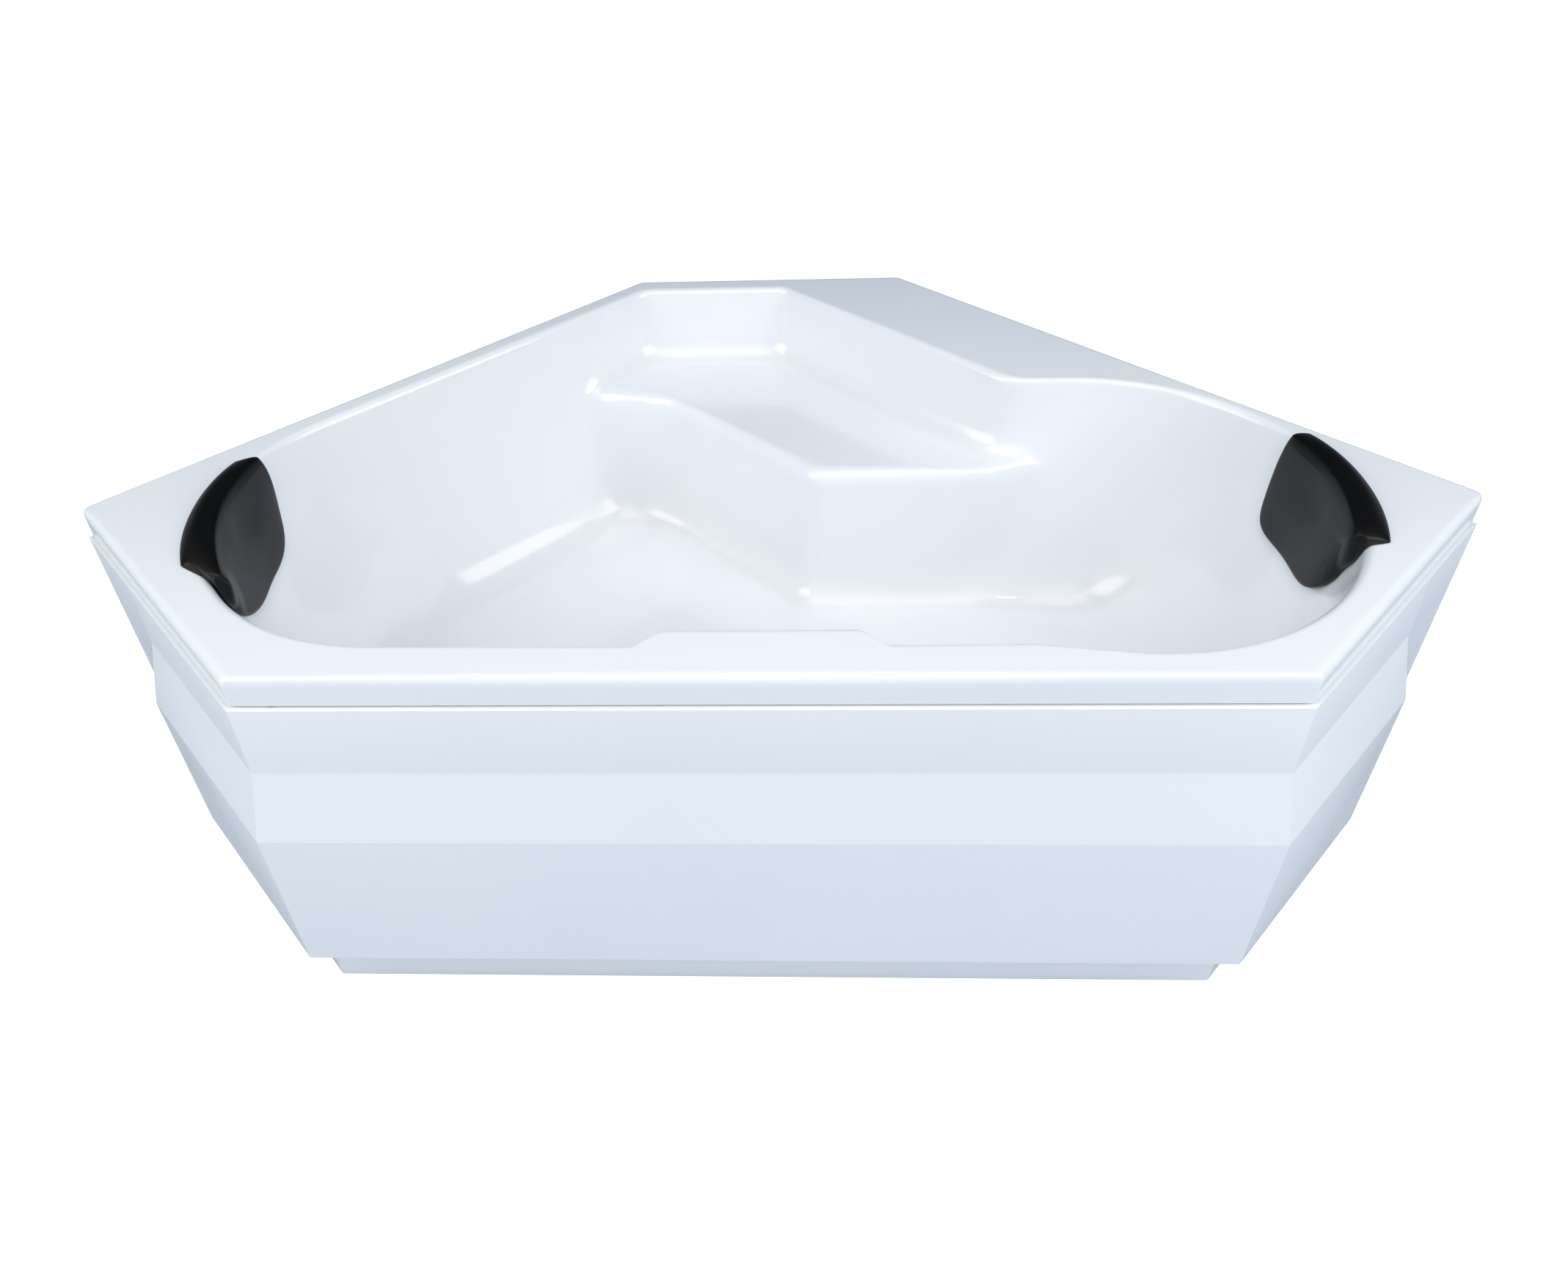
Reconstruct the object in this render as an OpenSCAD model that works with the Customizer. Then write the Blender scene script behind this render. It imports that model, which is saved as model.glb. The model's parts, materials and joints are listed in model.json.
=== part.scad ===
// Corner bathtub: a moulded shell with a corner seat and two reclining ends, carried by a
// welded tube frame on levelling feet, with a folded front panel, two head pillows and a
// pop-up waste worked from a knob on the overflow.
// Millimetres. +Z is up, Z = 0 is the floor of the room and the front faces -Y.
// A plan position is written [x, d], where d is the distance in front of the back edge.

/* [Rim] */
// Length of each side that stands against a wall, measured from the corner of the room
wall_side = 1500; // [1490:1:1520]
// Width of the cut-off back edge
back_w = 520; // [500:1:530]
// Width of the straight front edge
front_w = 1388; // [1370:1:1420]
// Distance from the back edge to the front edge
rim_reach = 1196; // [1190:1:1215]
// Height of the deck above the floor of the room
rim_h = 650; // [640:1:680]
// Height of the turned-down apron round the rim
apron_h = 46; // [36:1:56]
// Plan radius of the six corners of the rim
corner_r = 20; // [10:1:30]
// Rounding between the deck and the apron
edge_r = 15; // [6:1:20]
// Thickness of the shell, acrylic with its glass-fibre backing
shell_t = 8; // [6:0.5:9]

/* [Basin] */
// Height of the basin's floor above the floor of the room
floor_h = 245; // [240:1:270]
// Depth of the seat below the deck
seat_depth = 135; // [125:1:150]
// How far every wall leans in between the deck and the level of the seat
wall_lean = 28; // [22:1:32]
// Width of the deck along the left wall
left_deck = 40; // [36:1:50]
// Width of the deck along the back edge
back_deck = 46; // [42:1:56]
// Width of the deck beside the seat, along the right wall
right_deck = 195; // [180:1:210]
// Width of the deck along the front
front_deck = 67; // [64:1:75]
// Width of the deck at the ledge in the middle of the front
ledge_deck = 99; // [95:1:105]
// Width of that ledge
ledge_w = 262; // [240:1:290]
// Sideways run of the two steps beside the ledge
ledge_step = 31; // [24:1:40]
// Reach of the left end of the basin from the middle
left_reach = 850; // [835:1:856]
// Reach of the right end of the basin from the middle
right_reach = 871; // [860:1:876]
// Place of the right end's back wall, in front of the back edge
right_back = 438; // [425:1:450]
// Width of the reclining slope at the left end
left_slope = 202; // [180:1:230]
// Width of the reclining slope at the right end
right_slope = 203; // [180:1:230]
// Rounding of the basin's upper edge
lip_r = 16; // [8:1:20]
// Rounding where the floor meets the walls
foot_r = 55; // [40:1:60]

/* [Seat] */
// Place of the seat's front edge, in front of the back edge
seat_front = 516; // [500:1:530]
// Distance of the seat's slanting edge from the right wall
seat_side = 490; // [475:1:500]
// Place of the seat's short left edge, in front of the back edge
seat_left = 205; // [195:1:220]
// How far that short edge falls back towards the front
seat_left_fall = 32; // [20:1:40]
// Right end of the seat's front edge
seat_right = 430; // [415:1:440]
// Draft of the walls under the seat
seat_draft = 17; // [10:1:24]
// Rounding of the seat's front edge
nose_r = 22; // [14:1:26]
// Rounding between the seat and the walls behind it
seat_back_r = 26; // [16:1:34]

/* [Front panel] */
// Thickness of the panel's sheet
panel_t = 4; // [3:0.5:5]
// Gap between the apron and the top of the panel
panel_gap = 4; // [3:0.5:6]
// How far the flat of the panel stands proud of the rim
panel_out = 8; // [6:1:12]
// How far the raised block stands proud of the rim
block_out = 40; // [30:1:50]
// Height of the upper fold
fold_high = 488; // [470:1:500]
// Height of the lower fold
fold_low = 380; // [360:1:400]
// Height of the raised block's underside, and of the plinth
plinth_h = 102; // [90:1:120]
// How far the plinth stands proud of the rim
plinth_out = 3; // [0:1:5]
// Width of the plain strip between the raised block and each wall
strip_w = 158; // [140:1:180]
// Width of the return flange along the top
flange_w = 20; // [18:1:26]
// Width of the return lip along the bottom
lip_w = 10; // [6:1:10]
// Gap between each end of the panel and the wall
end_gap = 3; // [2:1:6]

/* [Frame] */
// Outside of the square tube
tube = 30; // [25:1:32]
// Wall of the square tube
tube_wall = 2; // [1.5:0.5:3]
// Distance of the tube frame's centre line from the rim's edge
frame_in = 33; // [32:0.5:34]
// Thickness of the board under the floor
floor_board_t = 18; // [15:1:22]
// Thickness of the board under the seat
seat_board_t = 12; // [9:1:18]
// Side of the square posts
post = 25; // [20:1:25]
// Width of the wooden battens under the rim
batten_w = 28; // [24:1:30]
// Thickness of those battens
batten_t = 18; // [12:1:22]
// Thickness of the steel brackets
bracket_t = 3; // [2:0.5:4]

/* [Levelling feet] */
// Radius of the threaded studs
stud_r = 6; // [5:0.5:7]
// Radius of the round foot pads
pad_r = 25; // [20:1:30]
// Height of the foot pads
pad_h = 14; // [10:1:18]
// Clearance of the studs in their nuts
stud_clear = 0.05; // [0.03:0.01:0.1]
// Distance of each foot from the frame's corner
foot_in = 40; // [36:1:50]

/* [Head pillows] */
// Angle that each pillow covers round its end of the basin, from its middle to the front
pillow_half = 23.5; // [21:0.5:26]
// Angle that each pillow covers from its middle to the back
pillow_back = 21; // [20:0.5:24]
// How far the pillow hangs below the deck
pillow_drop = 146; // [130:1:150]
// Height of the pillow's crest above the deck
pillow_crest = 27; // [20:1:34]
// Distance of the crest from the edge of the basin
pillow_t = 22; // [18:1:28]
// Width of the pillow's flange on the deck
pillow_flange = 29; // [28:1:32]
// Angle that the wing at the pillow's front end reaches further at the basin's edge
pillow_wing = 2.5; // [0:0.5:3]
// Radius of the pillow's push-in plugs
plug_pin_r = 4; // [3:0.5:5]

/* [Waste and overflow] */
// Distance of the drain behind the front edge
drain_back = 296; // [276:1:316]
// Flat of the floor between the drain's centre and the foot of the front wall
drain_front = 113; // [105:1:125]
// Radius of the drain hole
drain_r = 26; // [25:0.5:28]
// Depth of the overflow's centre below the deck, measured down the wall
overflow_depth = 88; // [84:1:96]
// Outside radius of the overflow pipe
pipe_r = 16; // [14:0.5:17]
// Wall of the overflow pipe
pipe_wall = 2.2; // [1.6:0.1:3]
// Outside radius of the trap
trap_r = 20; // [18:0.5:22]
// Wall of the trap
trap_wall = 2.5; // [2:0.1:3]
// Lift of the pop-up plug
plug_lift = 12; // [8:0.5:12]

/* [Hidden] */

q = sqrt(0.5);
half_back = back_w/2;
side_run = (wall_side - back_w*q)*q;
back_y = (rim_reach + block_out)/2;

// Heights
seat_z = rim_h - seat_depth;
floor_z = floor_h;
drain_d = rim_reach - drain_back;
basin_depth = rim_h - floor_h;
under_z = floor_z - shell_t;
rail_top = under_z - floor_board_t;
rail_z = rail_top - tube;
batten_z = rim_h - shell_t - batten_t;
panel_top = rim_h - apron_h - panel_gap;

// Plan helpers
function at(x, d) = [x, back_y - d];
function left_x(d, k) = k/q - half_back - d;
function right_x(d, k) = d + half_back - k/q;
function placed(list) = [for (c = list) [c[0], back_y - c[1], c[2]]];
function xy(c) = [c[0], c[1]];
function dir(p, r) = (r - p)/norm(r - p);
function left_of(v) = [-v[1], v[0]];
function wrap(i, n) = (i + n) % n;

// Moves every side of an outline inwards by k and keeps its corners round
function inset(list, k, least = 12) = [
    for (i = [0:len(list) - 1])
        let (n = len(list),
             a = xy(list[wrap(i - 1, n)]), b = xy(list[i]), c = xy(list[wrap(i + 1, n)]),
             u = left_of(dir(a, b)), v = left_of(dir(b, c)),
             p = b + (u + v)*k/(1 + u*v),
             turn = sign(cross(dir(a, b), dir(b, c))))
            [p[0], p[1], max(list[i][2] - k*turn, least)]
];

// Round corner at b on the way from a to c, in finer steps where the radius is large
function round_corner(a, b, c, r) =
    let (u = dir(b, a), v = dir(b, c),
         half = acos(u*v)/2,
         centre = b + (u + v)/norm(u + v)*r/sin(half),
         start = b + u*r/tan(half) - centre,
         from = atan2(start[1], start[0]),
         sweep = (180 - 2*half)*sign(cross(dir(a, b), dir(b, c))),
         n = max(1, ceil(abs(sweep)/(r > 100 ? 8 : 15))))
    [for (i = [0:n]) centre + r*[cos(from + sweep*i/n), sin(from + sweep*i/n)]];

function rounded(list) = [
    for (i = [0:len(list) - 1])
        let (n = len(list))
            each round_corner(xy(list[wrap(i - 1, n)]), xy(list[i]), xy(list[wrap(i + 1, n)]), list[i][2])
];

// Outer edge of the rim
rim_corners = placed([
    [-front_w/2, rim_reach, corner_r],
    [front_w/2, rim_reach, corner_r],
    [half_back + side_run, side_run, corner_r],
    [half_back, 0, corner_r],
    [-half_back, 0, corner_r],
    [-half_back - side_run, side_run, corner_r]
]);

// Upper edge of the basin
front_d = rim_reach - front_deck;
ledge_d = rim_reach - ledge_deck;
left_wall_d = left_reach + left_deck/q - half_back;
swell_x = 352;
swell_run = right_reach - swell_x;
swell_fall = 76;
swell_turn = (90 - atan(swell_fall/swell_run))/2;
swell_r = 150;
back_turn_r = 85;
step_r = 22;

// Each end is one arc that fills the room between the front and the wall behind it
left_r = (front_d - left_wall_d)/(1 + tan(22.5));
right_r = (front_d + swell_fall - right_back)/(1 + 1/tan(swell_turn));
left_centre_d = front_d - left_r;
right_centre_d = right_back + right_r;
edge_corners = placed([
    [-left_reach, front_d, left_r],
    [-ledge_w/2 - ledge_step, front_d, step_r],
    [-ledge_w/2, ledge_d, step_r],
    [ledge_w/2, ledge_d, step_r],
    [ledge_w/2 + ledge_step, front_d, step_r],
    [swell_x, front_d, swell_r],
    [right_reach, front_d + swell_fall, right_r],
    [right_reach, right_back, right_r],
    [right_x(right_back, right_deck), right_back, back_turn_r],
    [right_x(back_deck, right_deck), back_deck, 28],
    [left_x(back_deck, left_deck), back_deck, 40],
    [-left_reach, left_wall_d, left_r]
]);

// Foot of the upper wall, at the level of the seat
wall_corners = inset(edge_corners, wall_lean);

// The same level with the seat's edge in place of the wall behind it
wall_d = right_back + wall_lean;
seat_diag = seat_left + seat_left_fall;
seat_edge = placed([
    [seat_right + 50, wall_d, 60],
    [seat_right, seat_front, 40],
    [right_x(seat_front, seat_side), seat_front, 28],
    [right_x(seat_diag, seat_side), seat_diag, 60],
    [left_x(seat_left, left_deck + wall_lean), seat_left, 30]
]);
seat_corners = concat([for (i = [0:7]) wall_corners[i]], seat_edge, [wall_corners[11]]);

// Foot of the walls on the floor
front_foot = drain_d + drain_front;
seat_foot = seat_front + seat_draft;
side_foot = seat_side + seat_draft;
left_foot = left_deck + 3.4*wall_lean;
left_floor_x = left_reach - wall_lean - left_slope;
right_floor_x = right_reach - wall_lean - right_slope;
apex_d = seat_diag + 2*seat_draft;
left_foot_r = 150;
right_foot_r = 170;
seat_foot_r = 100;
wall_foot_r = 140;
floor_corners = placed([
    [-left_floor_x, front_foot, left_foot_r],
    [right_floor_x, front_foot, right_foot_r],
    [right_floor_x, seat_foot, seat_foot_r],
    [right_x(seat_foot, side_foot), seat_foot, 35],
    [right_x(apex_d, side_foot), apex_d, 40],
    [left_x(apex_d - 30, left_foot), apex_d - 30, 40],
    [-left_floor_x, left_floor_x + left_foot/q - half_back, wall_foot_r]
]);

// Rays from a hub above the floor cut each outline once
hub = at(0, 780);
function reach(outline, a) =
    let (u = [cos(a), sin(a)], n = len(outline))
    max([
        for (i = [0:n - 1])
            let (p = outline[i] - hub, r = outline[wrap(i + 1, n)] - hub)
                if (cross(p, u) >= -1e-6 && cross(u, r) > 1e-6) cross(p, r)/cross(u, r - p)
    ]);

function bearings(outline) = [for (p = outline) atan2(p[1] - hub[1], p[0] - hub[0])];
function sorted(v) =
    len(v) < 2 ? v :
    let (m = v[floor(len(v)/2)])
    concat(sorted([for (x = v) if (x < m) x]), [m], sorted([for (x = v) if (x > m) x]));
function thinned(v, gap) = [
    for (i = 0, last = v[0] - 2*gap, take = true; i < len(v);
         last = take ? v[i] : last, i = i + 1, take = i < len(v) && v[i] - last >= gap)
        if (take) v[i]
];

ray_gap = 1.3;
flat_rays = [-99, -90, -81];
seat_turn = bearings(seat_edge)[1];
turn_rays = [seat_turn + 2, seat_turn + 3, seat_turn + 4];
rim_rays = concat(bearings(rounded(rim_corners)), flat_rays, turn_rays);
free_rays = sorted(concat(bearings(rounded(edge_corners)), bearings(rounded(seat_corners)),
                          bearings(rounded(floor_corners))));
rays = sorted(concat(rim_rays, thinned(
    [for (a = free_rays) if (min([for (b = rim_rays) abs(a - b)]) >= ray_gap) a], ray_gap)));

// A soft bend at q, from the side of p to the side of r
function bend(p, c, r, t, steps) =
    let (a = c + dir(c, p)*min(t, 0.45*norm(p - c)),
         b = c + dir(c, r)*min(t, 0.45*norm(r - c)))
    [for (k = [0:steps]) let (s = k/steps) (1 - s)*(1 - s)*a + 2*s*(1 - s)*c + s*s*b];

// Section of the shell along one ray, as [distance from the hub, height]
seat_fade = 40;
function section(o, e, w, s, f, drop, soft) =
    [
        [o, rim_h - apron_h],
        [o, rim_h - drop],
        [e, rim_h - drop],
        [w + (e - w)*soft/5, seat_z - drop + seat_depth*soft/5],
        [s + (f - s)*soft/6, seat_z - drop + (floor_z - seat_z)*soft/6],
        [f, floor_z - drop],
        [0, floor_z - drop]
    ];
function softened(p, t, steps) = [
    p[0],
    each bend(p[0], p[1], p[2], t[0], steps[0]),
    each bend(p[1], p[2], p[3], t[1], steps[1]),
    each bend(p[2], p[3], p[4], t[2], steps[2]),
    each bend(p[3], p[4], p[5], t[3], steps[3]),
    each bend(p[4], p[5], p[6], t[4] + 0.5*max(0, p[4][0] - p[5][0]), steps[4])
];

rim_line = rounded(rim_corners);
edge_line = rounded(edge_corners);
wall_line = rounded(wall_corners);
seat_line = rounded(seat_corners);
floor_line = rounded(floor_corners);
function softness(a) = 1 - min(1, (reach(wall_line, a) - reach(seat_line, a))/seat_fade);
top_bends = [edge_r, lip_r, seat_back_r, nose_r, foot_r];
top_steps = [3, 3, 3, 3, 3];
function top_section(a) = softened(
    section(reach(rim_line, a), reach(edge_line, a), reach(wall_line, a),
            reach(seat_line, a), reach(floor_line, a), 0, softness(a)), top_bends, top_steps);

rim_back = rounded(inset(rim_corners, shell_t));
edge_back = rounded(inset(edge_corners, -shell_t));
wall_back = rounded(inset(wall_corners, -shell_t));
seat_back = rounded(inset(seat_corners, -shell_t));
floor_back = rounded(inset(floor_corners, -shell_t));
back_bends = [edge_r/2, lip_r*0.7, seat_back_r + shell_t/2, nose_r*0.75, foot_r + shell_t/2];
back_steps = [1, 1, 2, 2, 3];
function back_section(a) = softened(
    section(reach(rim_back, a), reach(edge_back, a), reach(wall_back, a),
            reach(seat_back, a), reach(floor_back, a), shell_t, softness(a)), back_bends, back_steps);

// Closed skin from the upper and the lower section of every ray
module skin() {
    n = len(rays);
    tops = [for (a = rays) top_section(a)];
    backs = [for (a = rays) back_section(a)];
    m = len(tops[0]);
    k = len(backs[0]);
    function spot(i, p) = [hub[0] + p[0]*cos(rays[i]), hub[1] + p[0]*sin(rays[i]), p[1]];
    points = concat(
        [for (j = [0:m - 1]) for (i = [0:n - 1]) spot(i, tops[i][j])],
        [for (j = [k - 1:-1:0]) for (i = [0:n - 1]) spot(i, backs[i][j])],
        [[hub[0], hub[1], floor_z], [hub[0], hub[1], under_z]]);
    rings = m + k;
    middle = rings*n;
    function band(j, r) = [
        for (i = [0:n - 1])
            let (a = j*n + i, b = r*n + i, c = r*n + wrap(i + 1, n), d = j*n + wrap(i + 1, n))
                each [[a, b, c], [a, c, d]]
    ];
    faces = concat(
        [for (i = [0:n - 1]) [(m - 1)*n + i, middle, (m - 1)*n + wrap(i + 1, n)]],
        [for (j = [0:rings - 1]) if (j != m - 1) each band(j, wrap(j + 1, rings))],
        [for (i = [0:n - 1]) [middle + 1, m*n + i, m*n + wrap(i + 1, n)]]);
    polyhedron(points = points, faces = faces, convexity = 12);
}

// Places and tilt of the fittings
drain = at(0, drain_d);
wall_tilt = atan(wall_lean/seat_depth);
overflow_d = ledge_d - overflow_depth*sin(wall_tilt);
overflow_z = rim_h - overflow_depth*cos(wall_tilt);
wall_thick = shell_t*(cos(wall_tilt) + sin(wall_tilt));
module on_front_wall() {
    translate([0, back_y - overflow_d, overflow_z]) rotate([wall_tilt - 90, 0, 0]) children();
}

left_centre = at(left_r - left_reach, left_centre_d);
right_centre = at(right_reach - right_r, right_centre_d);
left_aim = 183.5;
right_aim = 3.5;
pin_angle = 13;
pin_off = lip_r + plug_pin_r + 1.6;
module pin_places(centre, radius, aim) {
    for (s = [-1, 1]) translate(centre) rotate(aim + s*pin_angle) translate([radius + pin_off, 0, 0]) children();
}
pin_clear = 0.3;

module bath_shell() color("#e9eef6") difference() {
    skin();
    translate([drain[0], drain[1], under_z - 1]) cylinder(h = shell_t + 2, r = drain_r, $fn = 64);
    on_front_wall() translate([0, 0, -2*shell_t]) cylinder(h = 3*shell_t, r = drain_r, $fn = 64);
    pin_places(left_centre, left_r, left_aim) {
        translate([0, 0, rim_h - 2*shell_t]) cylinder(h = 3*shell_t, r = plug_pin_r + pin_clear, $fn = 32);
    }
    pin_places(right_centre, right_r, right_aim) {
        translate([0, 0, rim_h - 2*shell_t]) cylinder(h = 3*shell_t, r = plug_pin_r + pin_clear, $fn = 32);
    }
}

// Boards bonded under the floor and the seat
board_margin = 66;
board_hole_r = 60;
module floor_board() color("#c8a673") difference() {
    translate([0, 0, rail_top]) linear_extrude(floor_board_t)
        polygon(rounded(inset(floor_corners, board_margin)));
    translate([drain[0], drain[1], rail_top - 1]) cylinder(h = floor_board_t + 2, r = board_hole_r, $fn = 64);
}

seat_margin = 45;
seat_outline = placed([
    [right_x(seat_front, seat_side), seat_front, 30],
    [seat_right, seat_front, 30],
    [right_x(wall_d, right_deck + wall_lean), wall_d, 30],
    [right_x(back_deck + wall_lean, right_deck + wall_lean), back_deck + wall_lean, 30],
    [left_x(back_deck + wall_lean, left_deck + wall_lean), back_deck + wall_lean, 30],
    [left_x(seat_left, left_deck + wall_lean), seat_left, 30],
    [right_x(seat_diag, seat_side), seat_diag, 30]
]);
seat_board_z = seat_z - shell_t - seat_board_t;
module seat_board() color("#c8a673") translate([0, 0, seat_board_z]) linear_extrude(seat_board_t)
    polygon(rounded(inset(seat_outline, seat_margin)));

// Tube frame: the ring follows the rim at a fixed distance
ring = inset(rim_corners, frame_in);
function ring_dir(i) = dir(xy(ring[i]), xy(ring[wrap(i + 1, 6)]));
function ring_length(i) = norm(xy(ring[wrap(i + 1, 6)]) - xy(ring[i]));
function ring_point(i, s) = xy(ring[i]) + ring_dir(i)*s;
function ring_spot(i, s, k) = ring_point(i, s) + left_of(ring_dir(i))*k;
function mitre(i, k) = xy(inset(rim_corners, k)[wrap(i, 6)]);

module stud_hole(p) {
    translate([p[0], p[1], rail_z - 1]) cylinder(h = tube_wall + 2, r = stud_r + 1, $fn = 32);
}

module ring_rail(i) {
    e = left_of(ring_dir(i));
    h = tube/2 - tube_wall;
    color("#9aa2a8") difference() {
        translate([0, 0, rail_z]) linear_extrude(tube) polygon([
            mitre(i, frame_in - tube/2), mitre(i + 1, frame_in - tube/2),
            mitre(i + 1, frame_in + tube/2), mitre(i, frame_in + tube/2)]);
        translate([0, 0, rail_z + tube_wall]) linear_extrude(tube - 2*tube_wall) polygon([
            ring_point(i, -tube) - e*h, ring_point(i, ring_length(i) + tube) - e*h,
            ring_point(i, ring_length(i) + tube) + e*h, ring_point(i, -tube) + e*h]);
        stud_hole(ring_point(i, foot_in));
    }
}

module front_rail() ring_rail(0);
module right_chamfer_rail() ring_rail(1);
module right_wall_rail() ring_rail(2);
module back_rail() ring_rail(3);
module left_wall_rail() ring_rail(4);
module left_chamfer_rail() ring_rail(5);

// Inner faces of the ring, which the cross rails butt against
inner_in = frame_in + tube/2;
chamfer_near = mitre(1, inner_in);
chamfer_far = mitre(2, inner_in);
function chamfer_x(d) =
    let (y = back_y - d, s = (y - chamfer_near[1])/(chamfer_far[1] - chamfer_near[1]))
    chamfer_near[0] + s*(chamfer_far[0] - chamfer_near[0]);
function inner_x(d) = min(right_x(d, inner_in), chamfer_x(d));

module cross_rail(d, feet = []) {
    a = d - tube/2;
    b = d + tube/2;
    h = tube/2 - tube_wall;
    reach_x = max(inner_x(a), inner_x(b)) + 1;
    color("#9aa2a8") difference() {
        translate([0, 0, rail_z]) linear_extrude(tube)
            polygon([at(-inner_x(b), b), at(inner_x(b), b), at(inner_x(a), a), at(-inner_x(a), a)]);
        translate([0, 0, rail_z + tube_wall]) linear_extrude(tube - 2*tube_wall)
            polygon([at(-reach_x, d + h), at(reach_x, d + h), at(reach_x, d - h), at(-reach_x, d - h)]);
        for (x = feet) stud_hole(at(x, d));
    }
}

front_cross_d = 1000;
rear_cross_d = 640;
middle_foot_x = 110;
seat_rail_d = 300;
module front_cross_rail() cross_rail(front_cross_d);
module rear_cross_rail() cross_rail(rear_cross_d, [middle_foot_x]);
module seat_rail() cross_rail(seat_rail_d);

// Feet: one near the start of each ring rail and one under the middle
foot_places = concat([for (i = [0:5]) ring_point(i, foot_in)], [at(middle_foot_x, rear_cross_d)]);
post_rails = [0, 1, 2, 3, 5];
post_places = [for (i = post_rails) [ring_point(i, foot_in), atan2(ring_dir(i)[1], ring_dir(i)[0])]];

module square_tube(side, wall, h) {
    difference() {
        translate([-side/2, -side/2, 0]) cube([side, side, h]);
        translate([wall - side/2, wall - side/2, -1]) cube([side - 2*wall, side - 2*wall, h + 2]);
    }
}

module frame_posts() color("#9aa2a8") for (p = post_places)
    translate([p[0][0], p[0][1], rail_top]) rotate(p[1]) square_tube(post, tube_wall, batten_z - rail_top);

strut_x = [-80, 150];
module seat_struts() color("#9aa2a8") for (x = strut_x)
    translate([at(x, seat_rail_d)[0], at(x, seat_rail_d)[1], rail_top])
        square_tube(post, tube_wall, seat_board_z - rail_top);

// Wooden battens under the deck, as [ring side, start, end]
batten_runs = [
    [0, 18, 980],
    [1, 280, 480],
    [2, 18, 150],
    [2, 545, 1040],
    [3, 20, 160],
    [5, 18, ring_length(5) - 40]
];
module batten(i, from, to) {
    e = left_of(ring_dir(i))*batten_w/2;
    translate([0, 0, batten_z]) linear_extrude(batten_t) polygon([
        ring_point(i, from) - e, ring_point(i, to) - e, ring_point(i, to) + e, ring_point(i, from) + e]);
}
module rim_battens() color("#c8a673") for (r = batten_runs) batten(r[0], r[1], r[2]);

// Angle brackets that screw to the room's walls, on the two wall rails
wall_hole_r = 4;
bracket_w = 40;
bracket_h = 55;
bracket_places = [[2, 300], [2, 850], [4, 250], [4, 800]];
module wall_bracket(i, s) {
    p = ring_point(i, s);
    leg = frame_in - 1;
    translate([p[0], p[1], rail_z]) rotate(atan2(ring_dir(i)[1], ring_dir(i)[0])) {
        translate([-bracket_w/2, -leg, -bracket_t]) cube([bracket_w, leg + tube/2, bracket_t]);
        difference() {
            translate([-bracket_w/2, -leg, -bracket_h]) cube([bracket_w, bracket_t, bracket_h]);
            translate([0, -leg - 1, -bracket_h*0.6]) rotate([-90, 0, 0])
                cylinder(h = bracket_t + 2, r = wall_hole_r, $fn = 32);
        }
    }
}
module wall_brackets() color("#9aa2a8") for (b = bracket_places) wall_bracket(b[0], b[1]);

// Front panel: a folded sheet along the left chamfer, the front and the right chamfer
wall_normal = [-q, q];
wall_at = wall_normal*xy(rim_corners[5]);
chamfer_dir = dir(xy(rim_corners[5]), xy(rim_corners[0]));
chamfer_normal = -left_of(chamfer_dir);
chamfer_at = chamfer_normal*xy(rim_corners[0]);
function meet(u, a, v, b) = [a*v[1] - b*u[1], u[0]*b - v[0]*a]/cross(u, v);
function chamfer_point(k, w) = meet(chamfer_normal, chamfer_at + k, wall_normal, wall_at - w);
function front_corner(k) = meet(chamfer_normal, chamfer_at + k, [0, -1], rim_reach - back_y + k);
function flipped(p) = [-p[0], p[1]];

// Section of the sheet as [proud at the strip, proud at the block, height], outside then inside
soft_edge = 6;
block_edge = 10;
panel_section = [
    [panel_out - soft_edge, panel_out - soft_edge, panel_top],
    [panel_out - soft_edge/4, panel_out - soft_edge/4, panel_top - soft_edge/4],
    [panel_out, panel_out, panel_top - soft_edge],
    [panel_out, panel_out + 2, fold_high],
    [panel_out, block_out, fold_low],
    [panel_out, block_out, plinth_h + block_edge],
    [panel_out, block_out - block_edge/4, plinth_h + block_edge/4],
    [panel_out - 1, block_out - block_edge, plinth_h],
    [plinth_out, plinth_out, plinth_h],
    [plinth_out, plinth_out, 0],
    [plinth_out - lip_w, plinth_out - lip_w, 0],
    [plinth_out - lip_w, plinth_out - lip_w, panel_t],
    [plinth_out - panel_t, plinth_out - panel_t, panel_t],
    [plinth_out - panel_t, plinth_out - panel_t, plinth_h + panel_t],
    [panel_out - panel_t - 0.5, block_out - block_edge, plinth_h + panel_t],
    [panel_out - panel_t, block_out - panel_t, plinth_h + block_edge + panel_t/2],
    [panel_out - panel_t, block_out - panel_t, fold_low],
    [panel_out - panel_t, panel_out + 2 - panel_t, fold_high],
    [panel_out - panel_t, panel_out - panel_t, panel_top - panel_t],
    [panel_out - flange_w, panel_out - flange_w, panel_top - panel_t],
    [panel_out - flange_w, panel_out - flange_w, panel_top]
];
facet_w = 8;
bracket_posts = [0, 1, 4];
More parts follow.
